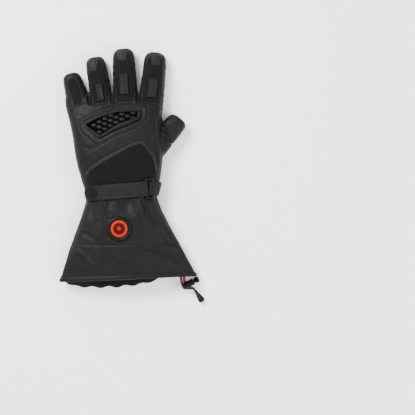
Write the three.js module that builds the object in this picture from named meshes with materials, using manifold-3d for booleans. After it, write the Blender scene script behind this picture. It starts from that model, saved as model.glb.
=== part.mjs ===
// Heated glove: a padded gauntlet glove for the left hand, lying palm down with its back up.
// Millimetres. +Y runs to the fingertips, +X to the thumb side and +Z up. The origin is on the
// surface that the glove lies on, under the middle of its outline.
import * as THREE from 'three'
import { mergeVertices } from 'three/addons/utils/BufferGeometryUtils.js'
import Module from 'manifold-3d'

const wasm = await Module()
wasm.setup()

// Driving dimensions of the hand
const HAND_LENGTH = 137
const HAND_WIDTH = 135
const HAND_HEIGHT = 46
const HAND_LEAN = 12
const WRIST_WIDTH = 98
const WRIST_HEIGHT = 38
const WRIST_OFFSET = 9.7
const HAND_WALL = 3.2

// Driving dimensions of the fingers and the thumb
const KNUCKLE_SETBACK = 19
const LITTLE_LENGTH = 55
const RING_LENGTH = 76.5
const MIDDLE_LENGTH = 87.5
const INDEX_LENGTH = 82.5
const THUMB_LENGTH = 59.5
const FINGER_WIDTH = 33
const FINGER_HEIGHT = 27
const THUMB_WIDTH = 31
const THUMB_HEIGHT = 29
const FINGER_WALL = 2.8

// Driving dimensions of the gauntlet
const CUFF_LENGTH = 118
const CUFF_WIDTH = 191
const CUFF_HEIGHT = 38
const CUFF_WALL = 3
const PALM_OVERHANG = 11
const HEM_WIDTH = 8
const HEM_SWELL = 0.9

// Driving dimensions of what is sewn and moulded on
const GAP = 0.3
const PANEL_THICKNESS = 1
const CAP_THICKNESS = 1.8
const PAD_LENGTH = 27
const PAD_WIDTH = 12.5
const PAD_HEIGHT = 2.6
const TRIM_WIDTH = 5.4
const TRIM_HEIGHT = 2
const GUARD_LENGTH = 80
const GUARD_DEPTH = 41
const GUARD_HEIGHT = 3.6
const GUARD_PLATE = 1.2
const CELL_LENGTH = 7.4
const CELL_WIDTH = 4.4
const CELL_PITCH = 7.25
const CELL_SPACING = 7.75
const CELL_CLIMB = 0.13
const CELL_HEIGHT = 2.9

// Driving dimensions of the strap and its fittings
const STRAP_LENGTH = 90
const STRAP_WIDTH = 21
const STRAP_THICKNESS = 2.2
const STRAP_SLANT = 4.6
const STRAP_RISE = 8.3
const BADGE_DIAMETER = 18
const BADGE_HEIGHT = 1.4
const RING_BAR = 4.2
const RING_SLOT = 4.8
const RING_THICKNESS = 2.6
const ANCHOR_LENGTH = 14

// Driving dimensions of the button
const BEZEL_DIAMETER = 34.5
const BEZEL_HEIGHT = 3.2
const LENS_DIAMETER = 24.4
const LENS_HEIGHT = 2.8

// Driving dimensions of the drawcord, its lock and its end
const CORD_DIAMETER = 3.8
const LOCK_DIAMETER = 9.6
const LOCK_LENGTH = 18
const LOCK_BORE = 6.8
const LOCK_BORE_DEPTH = 8.6
const LOCK_TURN = 27.5
const LOCK_TILT = 18
const LOCK_PLACE = [87, -162.3, 8.5]
const LOCK_HOLE = { from: 7, deep: 3.8 }
const PLUNGER_DIAMETER = 6.2
const PLUNGER_TRAVEL = 3
const PLUNGER_CAP_DIAMETER = 9.2
const PLUNGER_CAP_LENGTH = 4.7
const CORD_END_LENGTH = 20
const CORD_END_DIAMETER = 9.6
const CORD_END_NECK = 4.4
const CORD_END_TURN = -55.5
const CORD_END_TILT = -9
const CORD_END_PLACE = [93.2, -172.7, 2.2]

// Places that follow from the driving dimensions
const REACH = HAND_LENGTH - KNUCKLE_SETBACK + MIDDLE_LENGTH
const WRIST_Y = (CUFF_LENGTH + PALM_OVERHANG - REACH) / 2
const KNUCKLE_Y = WRIST_Y + HAND_LENGTH - KNUCKLE_SETBACK
const OVER_PANEL = PANEL_THICKNESS + 2 * GAP
const HAND_SIDES = 28
const FINGER_SIDES = 16
const CUFF_SIDES = 44
const MIDDLE_SHARE = 0.42
const FLATTENED = 3
const DEG = Math.PI / 180

// The hand from the wrist seam to the webs between the fingers, as shares of its length: widen and
// rise run from the wrist's size to the hand's, lower then runs to a finger's height, lean is a
// share of the lean and top is how much of the height above its middle a section keeps.
const HAND_SECTIONS = [
  { along: 0, widen: 0, lean: 0, rise: 0, lower: 0, top: 1, square: 0.8 },
  { along: 0.08, widen: 0.17, lean: 0.02, rise: 0.15, lower: 0, top: 1, square: 0.8 },
  { along: 0.21, widen: 0.42, lean: 0.12, rise: 0.55, lower: 0, top: 1, square: 0.78 },
  { along: 0.37, widen: 0.64, lean: 0.22, rise: 0.9, lower: 0, top: 1, square: 0.76 },
  { along: 0.58, widen: 0.76, lean: 0.4, rise: 1, lower: 0.02, top: 1, square: 0.76 },
  { along: 0.72, widen: 0.85, lean: 0.56, rise: 1, lower: 0.15, top: 1, square: 0.74 },
  { along: 0.86, widen: 0.95, lean: 0.85, rise: 1, lower: 0.48, top: 1, square: 0.7 },
  { along: 0.95, widen: 1, lean: 1, rise: 1, lower: 0.78, top: 1, square: 0.7 },
  { along: 1, widen: 0.96, lean: 1, rise: 1, lower: 1, top: 1, square: 0.7 },
  { along: 1.045, widen: 0.9, lean: 1, rise: 1, lower: 1, top: 0.45, square: 0.7 }
]

// A finger's taper narrows it from this share of its length on
const TAPER_FROM = 0.42

// A finger from its root to its tip, as shares of its own length, width and height
const FINGER_SECTIONS = [
  { along: -0.1, wide: 0.98, high: 1.1 },
  { along: 0.2, wide: 1.02, high: 1.08 },
  { along: 0.45, wide: 1, high: 1 },
  { along: 0.68, wide: 0.97, high: 0.95 },
  { along: 0.83, wide: 0.94, high: 0.91 },
  { along: 0.92, wide: 0.85, high: 0.83 },
  { along: 0.975, wide: 0.66, high: 0.68 },
  { along: 1, wide: 0.38, high: 0.44 }
]

// Where each finger starts across the hand, the way it points in degrees, and its share of the
// common width; part is how far up it parts from the next finger, in finger widths.
const FINGERS = [
  { name: 'little', across: -0.352, splay: -15.5, length: LITTLE_LENGTH, wide: 0.97, taper: 0.3, part: 0.7 },
  { name: 'ring', across: -0.1185, splay: -9, length: RING_LENGTH, wide: 0.93, part: 0.83 },
  { name: 'middle', across: 0.119, splay: -2.6, length: MIDDLE_LENGTH, wide: 1.02, part: 0.84 },
  { name: 'index', across: 0.372, splay: 5.2, length: INDEX_LENGTH, wide: 1.02, part: 0.84 }
]
const THUMB = { across: 0.33, along: 0.45, splay: 39 }

// The gauntlet from the wrist seam to the hem: widen runs from the wrist's width to the mouth's,
// high is a share of the height between the wrist's and the mouth's.
const CUFF_SECTIONS = [
  { along: 0, widen: 0, high: 1, square: 0.8 },
  { along: 0.06, widen: 0.02, high: 1, square: 0.82 },
  { along: 0.14, widen: 0.09, high: 1.03, square: 0.88 },
  { along: 0.26, widen: 0.21, high: 1.07, square: 0.95 },
  { along: 0.42, widen: 0.39, high: 1.08, square: 1.02 },
  { along: 0.6, widen: 0.6, high: 1.06, square: 1.1 },
  { along: 0.78, widen: 0.79, high: 1.03, square: 1.16 },
  { along: 0.9, widen: 0.92, high: 1.01, square: 1.2 },
  { along: 1, widen: 1, high: 1, square: 1.22 }
]

// Folds of the gauntlet: at is degrees round from the thumb side over the back, spread is half a
// fold's width in degrees, depth is a share of the wall, from and to are shares of the length.
const CUFF_FOLDS = [
  { at: 48, spread: 6, depth: -0.7, from: 0.02, to: 0.4 },
  { at: 62, spread: 7, depth: 0.9, from: 0.02, to: 0.36 },
  { at: 84, spread: 8, depth: -0.8, from: 0, to: 0.26 },
  { at: 112, spread: 8, depth: 0.6, from: 0, to: 0.24 },
  { at: 136, spread: 7, depth: -0.7, from: 0, to: 0.3 },
  { at: 30, spread: 7, depth: -0.6, from: 0.5, to: 0.95 },
  { at: 150, spread: 9, depth: 0.5, from: 0.3, to: 0.9 }
]

// The palm side's hem hangs further out between two shares of the mouth's width, and is wavy there
const OVERHANG = { from: -0.46, to: 0.22, waves: 5.5, depth: 1.4, drop: 0.028, level: 0.35, lift: 0.02 }

// Outlines on the back of the hand: across is a share of its width from the wrist's middle, along
// a share of its length from the wrist seam, wide a share of the trim's width.
const TRIM_LINE = [
  { across: -0.352, along: 0.197, wide: 0.95 },
  { across: -0.323, along: 0.246, wide: 1 },
  { across: -0.199, along: 0.332, wide: 1.05 },
  { across: -0.054, along: 0.411, wide: 1.05 },
  { across: 0.092, along: 0.491, wide: 1 },
  { across: 0.2, along: 0.528, wide: 0.9 },
  { across: 0.232, along: 0.52, wide: 0.85 },
  { across: 0.277, along: 0.47, wide: 0.7 },
  { across: 0.332, along: 0.397, wide: 0.65 },
  { across: 0.357, along: 0.325, wide: 0.65 },
  { across: 0.366, along: 0.24, wide: 0.65 }
]

// The knuckle guard's outer and inner outlines, as shares of its length and depth
const GUARD_PLACE = { across: -0.3726, along: 0.563 }
const GUARD_OUTER = [
  { across: 0, up: 0.544 }, { across: 0.28, up: 0.803 }, { across: 0.53, up: 0.956 },
  { across: 0.765, up: 1 }, { across: 1, up: 0.985 }, { across: 0.991, up: 0.74 },
  { across: 0.921, up: 0.621 }, { across: 0.765, up: 0.468 }, { across: 0.53, up: 0.286 },
  { across: 0.311, up: 0.044 }, { across: 0.249, up: 0 }, { across: 0.03, up: 0.364 }
]
const GUARD_INNER = [
  { across: 0.045, up: 0.5 }, { across: 0.296, up: 0.74 }, { across: 0.57, up: 0.9 },
  { across: 0.921, up: 0.932 }, { across: 0.914, up: 0.74 }, { across: 0.609, up: 0.544 },
  { across: 0.454, up: 0.347 }, { across: 0.289, up: 0.136 }, { across: 0.194, up: 0.26 },
  { across: 0.061, up: 0.425 }
]

// A finger's back panel, as shares of half its width and of its length
const PANEL_OUTLINE = [
  { across: -0.7, along: 0.14 }, { across: -0.74, along: 0.4 }, { across: -0.7, along: 0.72 },
  { across: -0.5, along: 0.9 }, { across: 0.5, along: 0.9 }, { across: 0.7, along: 0.72 },
  { across: 0.74, along: 0.4 }, { across: 0.7, along: 0.14 }
]
const LITTLE_STRIP = [
  { across: -0.4, along: 0.2 }, { across: -0.42, along: 0.74 }, { across: 0, along: 0.84 },
  { across: 0.42, along: 0.74 }, { across: 0.4, along: 0.2 }
]

// The pads and tip caps: along is where a pad's middle or a cap's edge lies, long and wide are
// shares of the common pad, shift is a share of half the finger's width.
const PADS = [
  { finger: 'ring', along: 0.328, long: 0.92, wide: 0.82, shift: 0 },
  { finger: 'middle', along: 0.42, long: 1.12, wide: 1.03, shift: -0.05 },
  { finger: 'index', along: 0.375, long: 1, wide: 1, shift: 0.03 }
]
const CAPS = [
  { finger: 'ring', along: 0.72, shift: -0.3 },
  { finger: 'middle', along: 0.78, shift: -0.15 },
  { finger: 'index', along: 0.755, shift: 0.12 }
]
const CAP_OUTLINE = [
  { across: -0.38, along: 0 }, { across: -0.42, along: 0.55 }, { across: -0.62, along: 1.4 },
  { across: 0.62, along: 1.4 }, { across: 0.42, along: 0.55 }, { across: 0.38, along: 0 }
]

// The drawcord's two strands, as points chosen along their routes: both come out of the edge of
// the hem, the right one ends in the lock and the left one runs below it to the cord end.
const CORD_LEFT_ROUTE = [
  [74, -153.2, 25.3], [74, -154.9, 24.8], [74, -156.1, 23.1], [74, -156.8, 20.6],
  [74, -157.4, 17], [74.1, -158.4, 12.8], [74.4, -160.1, 9], [75, -162.7, 5.6],
  [76.5, -165.9, 3.3], [78.8, -168.5, 2.2], [81.7, -169.9, 2.05], [84.6, -170.3, 2.05],
  [87.4, -169.9, 2.05], [89.6, -170, 2.05], [91.3, -170.7, 2.1], [92.85, -172.2, 2.15]
]
const CORD_RIGHT_ROUTE = [
  [78.2, -153.1, 24.8], [78.2, -154.8, 24.3], [78.2, -156, 22.6], [78.2, -156.6, 20.2],
  [78.2, -157.1, 17], [78.35, -157.8, 14], [78.7, -158.8, 11.9], [79.3, -160.1, 10.75],
  [79.9, -161.1, 10.4], [81.34, -163.78, 10.35]
]

// Hollows are plainer than what is round them, so they follow every other row of a table
const rowsFor = (table, grow) => table.filter((_, index) => grow >= 0 || index % 2 === 0)
const mix = (from, to, share) => from + (to - from) * share
const power = (value, exponent) => Math.sign(value) * Math.abs(value) ** exponent
const onHand = ({ across, along }) => [
  -WRIST_OFFSET + HAND_WIDTH * across,
  WRIST_Y + HAND_LENGTH * along
]

// A geometry from points and faces, with its faces turned to point out
function surface(points, faces) {
  let volume = 0
  for (let f = 0; f < faces.length; f += 3) {
    const [a, b, c] = [points[faces[f]], points[faces[f + 1]], points[faces[f + 2]]]
    volume += a.dot(new THREE.Vector3().crossVectors(b, c))
  }
  if (volume < 0) {
    faces.reverse()
  }
  const geometry = new THREE.BufferGeometry().setFromPoints(points)
  return geometry.setIndex(faces)
}

// A band of faces between two rings of points, given by the index of each ring's first point
function band(from, to, count) {
  const faces = []
  for (let k = 0; k < count; k++) {
    const next = (k + 1) % count
    faces.push(from + k, from + next, to + next, from + k, to + next, to + k)
  }
  return faces
}

// A closed solid over rings of points, its first and last ring capped round their middles
function loft(rings) {
  const count = rings[0].length
  const last = (rings.length - 1) * count
  const points = rings.flat()
  const faces = []
  for (let first = 0; first < last; first += count) {
    faces.push(...band(first, first + count, count))
  }
  for (const [first, ring] of [[0, rings[0]], [last, rings[rings.length - 1]]]) {
    const middle = new THREE.Vector3()
    ring.forEach((point) => middle.addScaledVector(point, 1 / count))
    for (let k = 0; k < count; k++) {
      const [a, b] = [first + k, first + (k + 1) % count]
      faces.push(points.length, first === 0 ? b : a, first === 0 ? a : b)
    }
    points.push(middle)
  }
  return surface(points, faces)
}

// A wall between an outer and an inner set of rings, open at both ends
function tubeWall(outer, inner) {
  const loop = [...outer, ...inner.toReversed()]
  const count = outer[0].length
  const faces = []
  loop.forEach((_, r) => faces.push(...band(r * count, (r + 1) % loop.length * count, count)))
  return surface(loop.flat(), faces)
}

function toSolid(geometry) {
  const bare = geometry.clone()
  bare.deleteAttribute('normal')
  bare.deleteAttribute('uv')
  const merged = mergeVertices(bare, 1e-4)
  return new wasm.Manifold(new wasm.Mesh({
    numProp: 3,
    vertProperties: merged.attributes.position.array,
    triVerts: new Uint32Array(merged.index.array)
  }))
}

function toGeometry(solid) {
  const mesh = solid.getMesh()
  const geometry = new THREE.BufferGeometry()
  geometry.setAttribute('position', new THREE.BufferAttribute(mesh.vertProperties, mesh.numProp))
  geometry.setIndex(new THREE.BufferAttribute(mesh.triVerts, 1))
  return geometry
}

// One cross-section: a rounded box round a middle height, flat where it meets the surface below.
// right is the way across it, and grow moves it out, or in where it is negative.
function section({ x, y, right, width, up, down, middle, square, sides, grow }) {
  const floor = Math.max(0, -grow)
  return Array.from({ length: sides }, (_, k) => {
    const angle = 2 * Math.PI * k / sides
    const u = power(Math.cos(angle), square) * (width / 2 + grow)
    const v = power(Math.sin(angle), square) * ((Math.sin(angle) > 0 ? up : down) + grow)
    return new THREE.Vector3(x + right[0] * u, y + right[1] * u, Math.max(middle + v, floor))
  })
}

// The hand's solid, grown by an offset; past is how far it runs on beyond the wrist seam
function handBody(grow, past = 0) {
  return toSolid(loft(rowsFor(HAND_SECTIONS, grow).map((row, index, rows) => {
    const full = mix(WRIST_HEIGHT, HAND_HEIGHT, row.rise)
    const height = mix(full, FINGER_HEIGHT, row.lower)
    const end = index === 0 ? -past : index === rows.length - 1 ? grow : 0
    return section({
      x: -WRIST_OFFSET - HAND_LEAN * row.lean,
      y: WRIST_Y + HAND_LENGTH * row.along + end,
      right: [1, 0],
      width: mix(WRIST_WIDTH, HAND_WIDTH, row.widen),
      up: height * (1 - MIDDLE_SHARE) * row.top,
      down: height * MIDDLE_SHARE + FLATTENED,
      middle: height * MIDDLE_SHARE,
      square: row.square,
      sides: HAND_SIDES,
      grow
    })
  })))
}

// A finger's or the thumb's solid, grown by an offset
function digit({ root, forward, right, length, width, height, taper = 0 }, grow) {
  return toSolid(loft(rowsFor(FINGER_SECTIONS, grow).map((row) => {
    const along = length * row.along + grow * Math.max(0, 3 * row.along - 2)
    return section({
      x: root[0] + forward[0] * along,
      y: root[1] + forward[1] * along,
      right,
      width: width * row.wide * (1 - taper * Math.max(0, row.along - TAPER_FROM)),
      up: height * (1 - MIDDLE_SHARE) * row.high,
      down: (height * MIDDLE_SHARE + FLATTENED) * row.high,
      middle: height * MIDDLE_SHARE,
      square: 0.82,
      sides: FINGER_SIDES,
      grow: row.along === 1 ? grow / 2 : grow
    })
  })))
}

function pointing(row) {
  const [x, y] = [Math.sin(row.splay * DEG), Math.cos(row.splay * DEG)]
  return { ...row, forward: [x, y], right: [y, -x] }
}

const fingers = FINGERS.map((row) => pointing({
  ...row,
  root: [-WRIST_OFFSET - HAND_LEAN * 0.8 + HAND_WIDTH * row.across, KNUCKLE_Y],
  width: FINGER_WIDTH * row.wide,
  height: FINGER_HEIGHT
}))
const thumb = pointing({
  ...THUMB,
  root: onHand(THUMB),
  length: THUMB_LENGTH,
  width: THUMB_WIDTH,
  height: THUMB_HEIGHT
})
const fingerNamed = (name) => fingers.find((finger) => finger.name === name)

// A point on a finger, as shares of half its width and of its length
const onFinger = (finger, { across, along }) => [0, 1].map((axis) => (
  finger.root[axis] + finger.forward[axis] * finger.length * along +
  finger.right[axis] * finger.width / 2 * across
))

// One ring of the gauntlet at a share of its length, with its folds and its hem's overhang
function cuffRing(share, grow) {
  const next = Math.max(1, CUFF_SECTIONS.findIndex((row) => row.along >= share - 1e-9))
  const [a, b] = [CUFF_SECTIONS[next - 1], CUFF_SECTIONS[next]]
  const t = (share - a.along) / (b.along - a.along)
  const height = mix(WRIST_HEIGHT, CUFF_HEIGHT, share) * mix(a.high, b.high, t)
  const width = mix(WRIST_WIDTH, CUFF_WIDTH, mix(a.widen, b.widen, t))
  const square = mix(a.square, b.square, t)
  const ring = section({
    x: -WRIST_OFFSET * (1 - share),
    y: WRIST_Y - CUFF_LENGTH * share,
    right: [1, 0],
    width,
    up: height * (1 - MIDDLE_SHARE),
    down: height * MIDDLE_SHARE + FLATTENED,
    middle: height * MIDDLE_SHARE,
    square,
    sides: CUFF_SIDES,
    grow
  })
  return ring.map((point, k) => {
    const degrees = 360 * k / CUFF_SIDES
    const across = power(Math.cos(degrees * DEG), square) / 2
    point.z += foldHeight(degrees, share)
    const slant = OVERHANG.lift * (across + 0.5) - OVERHANG.drop * Math.max(0, OVERHANG.level - across)
    point.y += (slant * width - overhang(across, degrees)) * share ** 3
    return point
  })
}

function foldHeight(degrees, share) {
  let height = 0
  for (const fold of CUFF_FOLDS) {
    const along = (share - fold.from) / (fold.to - fold.from)
    if (along > 0 && along < 1) {
      const away = (degrees - fold.at) / fold.spread
      height += fold.depth * CUFF_WALL * Math.sin(Math.PI * along) * Math.exp(-away * away)
    }
  }
  return height
}

function overhang(across, degrees) {
  const under = Math.min(1, Math.max(0, -3 * Math.sin(degrees * DEG)))
  const t = (across - OVERHANG.from) / (OVERHANG.to - OVERHANG.from)
  if (t <= 0 || t >= 1) {
    return 0
  }
  const wave = OVERHANG.depth * Math.cos(2 * Math.PI * OVERHANG.waves * t)
  return under * Math.sin(Math.PI * t) ** 0.4 * (PALM_OVERHANG + wave)
}

// The gauntlet's rings between two shares of its length, at its table's own shares on the way
function cuffRings(from, to, grow) {
  const shares = rowsFor(CUFF_SECTIONS, grow).map((row) => row.along)
  const between = shares.filter((share) => share > from && share < to)
  return [from, ...between, to].map((share) => cuffRing(share, grow))
}

// The whole outside of the glove, grown by an offset, made once for each offset
const skins = new Map()
function skin(grow) {
  if (!skins.has(grow)) {
    const digits = [...fingers, thumb].map((each) => digit(each, grow))
    const cuff = toSolid(loft(cuffRings(0, 1, grow)))
    skins.set(grow, digits.reduce((all, each) => all.add(each), handBody(grow, GAP).add(cuff)))
  }
  return skins.get(grow)
}

// A straight-sided solid over an outline of [x, y] points
function prism(outline, { low = -20, high = 120 } = {}) {
  const shape = new THREE.Shape(outline.map(([x, y]) => new THREE.Vector2(x, y)))
  const geometry = new THREE.ExtrudeGeometry(shape, { depth: high - low, bevelEnabled: false })
  return toSolid(geometry.translate(0, 0, low))
}

// What lies on the glove inside an outline and outside a hole, between two heights above its face
function layer(outline, low, high, { floor = 12, hole } = {}) {
  const ground = prism(outline, { low: floor })
  const open = hole ? ground.subtract(prism(hole)) : ground
  return open.intersect(skin(high)).subtract(skin(low))
}

// An outline moved in by a distance, or out where it is negative
function inset(outline, distance) {
  const count = outline.length
  const area = outline.reduce((sum, [x, y], i) => {
    const [nextX, nextY] = outline[(i + 1) % count]
    return sum + x * nextY - nextX * y
  }, 0)
  const normal = (i) => {
    const [a, b] = [outline[(i + count) % count], outline[(i + 1) % count]]
    const [dx, dy] = [b[0] - a[0], b[1] - a[1]]
    const size = Math.sign(area) * Math.hypot(dx, dy)
    return [-dy / size, dx / size]
  }
  return outline.map(([x, y], i) => {
    const [before, after] = [normal(i - 1), normal(i)]
    const reach = distance / (1 + before[0] * after[0] + before[1] * after[1])
    return [x + (before[0] + after[0]) * reach, y + (before[1] + after[1]) * reach]
  })
}

// The lines along which neighbouring fingers part: a base point and the way up from it
function partings() {
  return Array.from({ length: fingers.length + 1 }, (_, i) => {
    const [a, b] = [fingers[Math.max(0, i - 1)], fingers[Math.min(i, fingers.length - 1)]]
    const outward = i === 0 ? -1.3 : 1.3
    const splay = a === b ? a.splay + 6 * outward : (a.splay + b.splay) / 2
    const share = a === b ? 0 : a.width / (a.width + b.width)
    const side = a === b ? outward * a.width : 0
    const [x, y] = [mix(a.root[0], b.root[0], share) + side, mix(a.root[1], b.root[1], share)]
    const forward = [Math.sin(splay * DEG), Math.cos(splay * DEG)]
    const up = FINGER_WIDTH * a.part
    return { base: [x + forward[0] * up, y + forward[1] * up], forward }
  })
}

// The ground that each finger stands on beyond its parting lines
function fingerGrounds() {
  const lines = partings()
  const far = 1.6 * MIDDLE_LENGTH
  return fingers.map((_, i) => {
    const [left, right] = [lines[i], lines[i + 1]]
    const tops = [right, left].map(({ base, forward }) => (
      [base[0] + forward[0] * far, base[1] + forward[1] * far]
    ))
    return [left.base, right.base, ...tops]
  })
}

const material = (color, roughness, metalness = 0) => (
  new THREE.MeshStandardMaterial({ color, roughness, metalness })
)
const LEATHER = material('#3b3b3d', 0.55)
const STRETCH = material('#232325', 0.85)
const RUBBER = material('#343436', 0.6)
const GRID = material('#4a4a4c', 0.5)
const WEBBING = material('#343436', 0.8)
const PLASTIC = material('#1c1c1e', 0.4)
const LENS = material('#e0401c', 0.25)
const CORD = material('#7a1f2c', 0.75)

const glove = new THREE.Group()
function place(name, shape, look, group = glove) {
  const geometry = shape.isBufferGeometry ? shape : toGeometry(shape)
  const mesh = new THREE.Mesh(geometry, look)
  mesh.name = name
  group.add(mesh)
}

function addHandAndFingers() {
  const grounds = fingerGrounds()
  const outer = fingers.reduce((all, each) => all.add(digit(each, 0)), handBody(0))
  const inner = fingers.reduce((all, each) => all.add(digit(each, -FINGER_WALL)), handBody(-HAND_WALL, 1))
  const thumbHollow = digit(thumb, -FINGER_WALL)
  const shell = outer.subtract(inner).subtract(thumbHollow)
  const cut = grounds.map((ground) => prism(inset(ground, -GAP / 2)))
  place('hand_shell', cut.reduce((rest, ground) => rest.subtract(ground), shell), LEATHER)
  fingers.forEach((finger, i) => {
    place(`finger_${finger.name}`, shell.intersect(prism(inset(grounds[i], GAP / 2))), LEATHER)
  })
  place('thumb', digit(thumb, 0).subtract(handBody(GAP)).subtract(thumbHollow), LEATHER)
}

function addFingerPieces() {
  for (const finger of fingers) {
    const outline = finger.name === 'little' ? LITTLE_STRIP : PANEL_OUTLINE
    const cap = CAPS.find((row) => row.finger === finger.name)
    const hole = cap && inset(capOutline(finger, cap), -GAP)
    const corners = outline.map((point) => onFinger(finger, point))
    const pieces = layer(corners, GAP, GAP + PANEL_THICKNESS, { hole }).decompose()
    const [panel] = pieces.toSorted((a, b) => b.volume() - a.volume())
    place(`back_panel_${finger.name}`, panel, STRETCH)
  }
  for (const pad of PADS) {
    const finger = fingerNamed(pad.finger)
    const [half, long] = [PAD_WIDTH * pad.wide / finger.width, PAD_LENGTH * pad.long / 2 / finger.length]
    const corners = [[-1, -1], [1, -1], [1, 1], [-1, 1]].map(([x, y]) => (
      onFinger(finger, { across: pad.shift + x * half, along: pad.along + y * long })
    ))
    place(`knuckle_pad_${pad.finger}`, layer(corners, OVER_PANEL, OVER_PANEL + PAD_HEIGHT), RUBBER)
  }
  for (const cap of CAPS) {
    const corners = capOutline(fingerNamed(cap.finger), cap)
    const solid = layer(corners, GAP, GAP + CAP_THICKNESS, { floor: FINGER_HEIGHT / 3 })
    place(`tip_cap_${cap.finger}`, solid, LEATHER)
  }
}

function capOutline(finger, cap) {
  return CAP_OUTLINE.map(({ across, along }) => onFinger(finger, {
    across: across + cap.shift * (1 - along / 1.4),
    along: mix(cap.along, 1, along)
  }))
}

function addGuard() {
  const [left, low] = onHand(GUARD_PLACE)
  const onGuard = ({ across, up }) => [left + GUARD_LENGTH * across, low + GUARD_DEPTH * up]
  const [outer, inner] = [GUARD_OUTER.map(onGuard), GUARD_INNER.map(onGuard)]
  place('guard_frame', layer(outer, GAP, GAP + GUARD_HEIGHT, { hole: inner }), RUBBER)
  const plate = inset(inner, GAP)
  const solid = guardCells(left, low, inset(inner, 2 * GAP))
    .intersect(skin(GAP + CELL_HEIGHT))
    .subtract(skin(GAP))
    .add(layer(plate, GAP, GAP + GUARD_PLATE))
  place('guard_grid', solid, GRID)
}

// The guard's oval cells, in columns that stand half a pitch apart by turns and climb to the side
function guardCells(left, low, inside) {
  const cells = []
  for (let column = 0; column * CELL_SPACING < GUARD_LENGTH; column++) {
    for (let row = -1; row * CELL_PITCH < GUARD_DEPTH; row++) {
      const x = left + (column + 0.77) * CELL_SPACING
      const y = low + (row + 0.5 * (column % 2) + CELL_CLIMB * column) * CELL_PITCH
      if (isInside([x, y], inside)) {
        cells.push(prism(Array.from({ length: 6 }, (_, k) => [
          x + CELL_LENGTH / 2 * Math.cos(Math.PI * k / 3),
          y + CELL_WIDTH / 2 * Math.sin(Math.PI * k / 3)
        ]), { low: 12 }))
      }
    }
  }
  return cells.reduce((all, cell) => all.add(cell)).intersect(prism(inside))
}

function isInside([x, y], outline) {
  let inside = false
  outline.forEach(([ax, ay], i) => {
    const [bx, by] = outline[(i + 1) % outline.length]
    if (ay > y !== by > y && x < ax + (y - ay) / (by - ay) * (bx - ax)) {
      inside = !inside
    }
  })
  return inside
}

function addWristPanel() {
  const line = TRIM_LINE.map((row) => ({ at: onHand(row), half: TRIM_WIDTH * row.wide / 2 }))
  const side = (extra) => line.map(({ at, half }, i) => {
    const [before, after] = [line[Math.max(0, i - 1)].at, line[Math.min(i + 1, line.length - 1)].at]
    const [dx, dy] = [after[0] - before[0], after[1] - before[1]]
    const reach = extra(half) / Math.hypot(dx, dy)
    return [at[0] - dy * reach, at[1] + dx * reach]
  })
  const band = [...side((half) => half), ...side((half) => -half).reverse()]
  place('trim_band', layer(band, GAP, GAP + TRIM_HEIGHT), LEATHER)
  const top = side((half) => -half - GAP)
  const seam = WRIST_Y + 3 * GAP
  const panel = [...top, [top[top.length - 1][0], seam], [top[0][0] + 2, seam]]
  place('wrist_panel', layer(panel, GAP, GAP + PANEL_THICKNESS), STRETCH)
}

function addGauntlet() {
  const hemShare = 1 - HEM_WIDTH / CUFF_LENGTH
  const gapShare = GAP / CUFF_LENGTH
  const outer = cuffRings(gapShare, hemShare, 0)
  place('gauntlet', tubeWall(outer, cuffRings(gapShare, hemShare, -CUFF_WALL)), LEATHER)
  const from = hemShare + gapShare
  const swells = [[0, 0], [0.15, 1], [0.85, 1], [1, 0]]
  const outside = swells.map(([t, swell]) => cuffRing(mix(from, 1, t), HEM_SWELL * swell))
  const inside = [from, 1].map((share) => cuffRing(share, -CUFF_WALL))
  place('drawcord_hem', tubeWall(outside, inside), LEATHER)
}

// The strap's own ground: s runs from its ring end to its free end, t across it
function onStrap(s, t) {
  const [x, y] = [-WRIST_OFFSET + 0.387 * WRIST_WIDTH, WRIST_Y + STRAP_RISE]
  const [cos, sin] = [Math.cos(STRAP_SLANT * DEG), Math.sin(STRAP_SLANT * DEG)]
  return [x - cos * s - sin * t, y - sin * s + cos * t]
}
const strapBox = (from, to, half) => (
  [[from, -half], [to, -half], [to, half], [from, half]].map(([s, t]) => onStrap(s, t))
)

function addStrap() {
  const half = STRAP_WIDTH / 2
  const top = OVER_PANEL + STRAP_THICKNESS
  const overRing = OVER_PANEL + RING_THICKNESS + GAP
  const clear = RING_BAR + GAP
  const arc = Array.from({ length: 9 }, (_, k) => {
    const angle = Math.PI * (k / 8 - 0.5)
    return onStrap(STRAP_LENGTH - half * 0.55 * (1 - Math.cos(angle)), half * Math.sin(angle))
  })
  const strap = layer([onStrap(clear, half), onStrap(clear, -half), ...arc], OVER_PANEL, top)
    .add(layer(strapBox(clear, clear + 3, half), OVER_PANEL, overRing + STRAP_THICKNESS))
    .add(layer(strapBox(0.1, clear + 1, half), overRing, overRing + STRAP_THICKNESS))
  place('wrist_strap', strap, WEBBING)
  const badge = Array.from({ length: 16 }, (_, k) => {
    const angle = 2 * Math.PI * k / 16
    const [s, t] = [Math.cos(angle), Math.sin(angle)].map((share) => share * BADGE_DIAMETER / 2)
    return onStrap(STRAP_LENGTH - BADGE_DIAMETER / 2 - 1 + s, t)
  })
  place('strap_badge', layer(badge, top + GAP, top + GAP + BADGE_HEIGHT), PLASTIC)
  const wide = half + RING_BAR
  const hole = strapBox(-RING_SLOT, 0, half + 2 * GAP)
  const ring = strapBox(-RING_SLOT - RING_BAR, RING_BAR, wide)
  place('strap_ring', layer(ring, OVER_PANEL, OVER_PANEL + RING_THICKNESS, { hole }), PLASTIC)
  const edge = -RING_SLOT - RING_BAR - GAP
  const anchor = strapBox(edge - ANCHOR_LENGTH, edge, half)
  place('strap_anchor', layer(anchor, OVER_PANEL, OVER_PANEL + STRAP_THICKNESS, { floor: 8 }), WEBBING)
}

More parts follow.
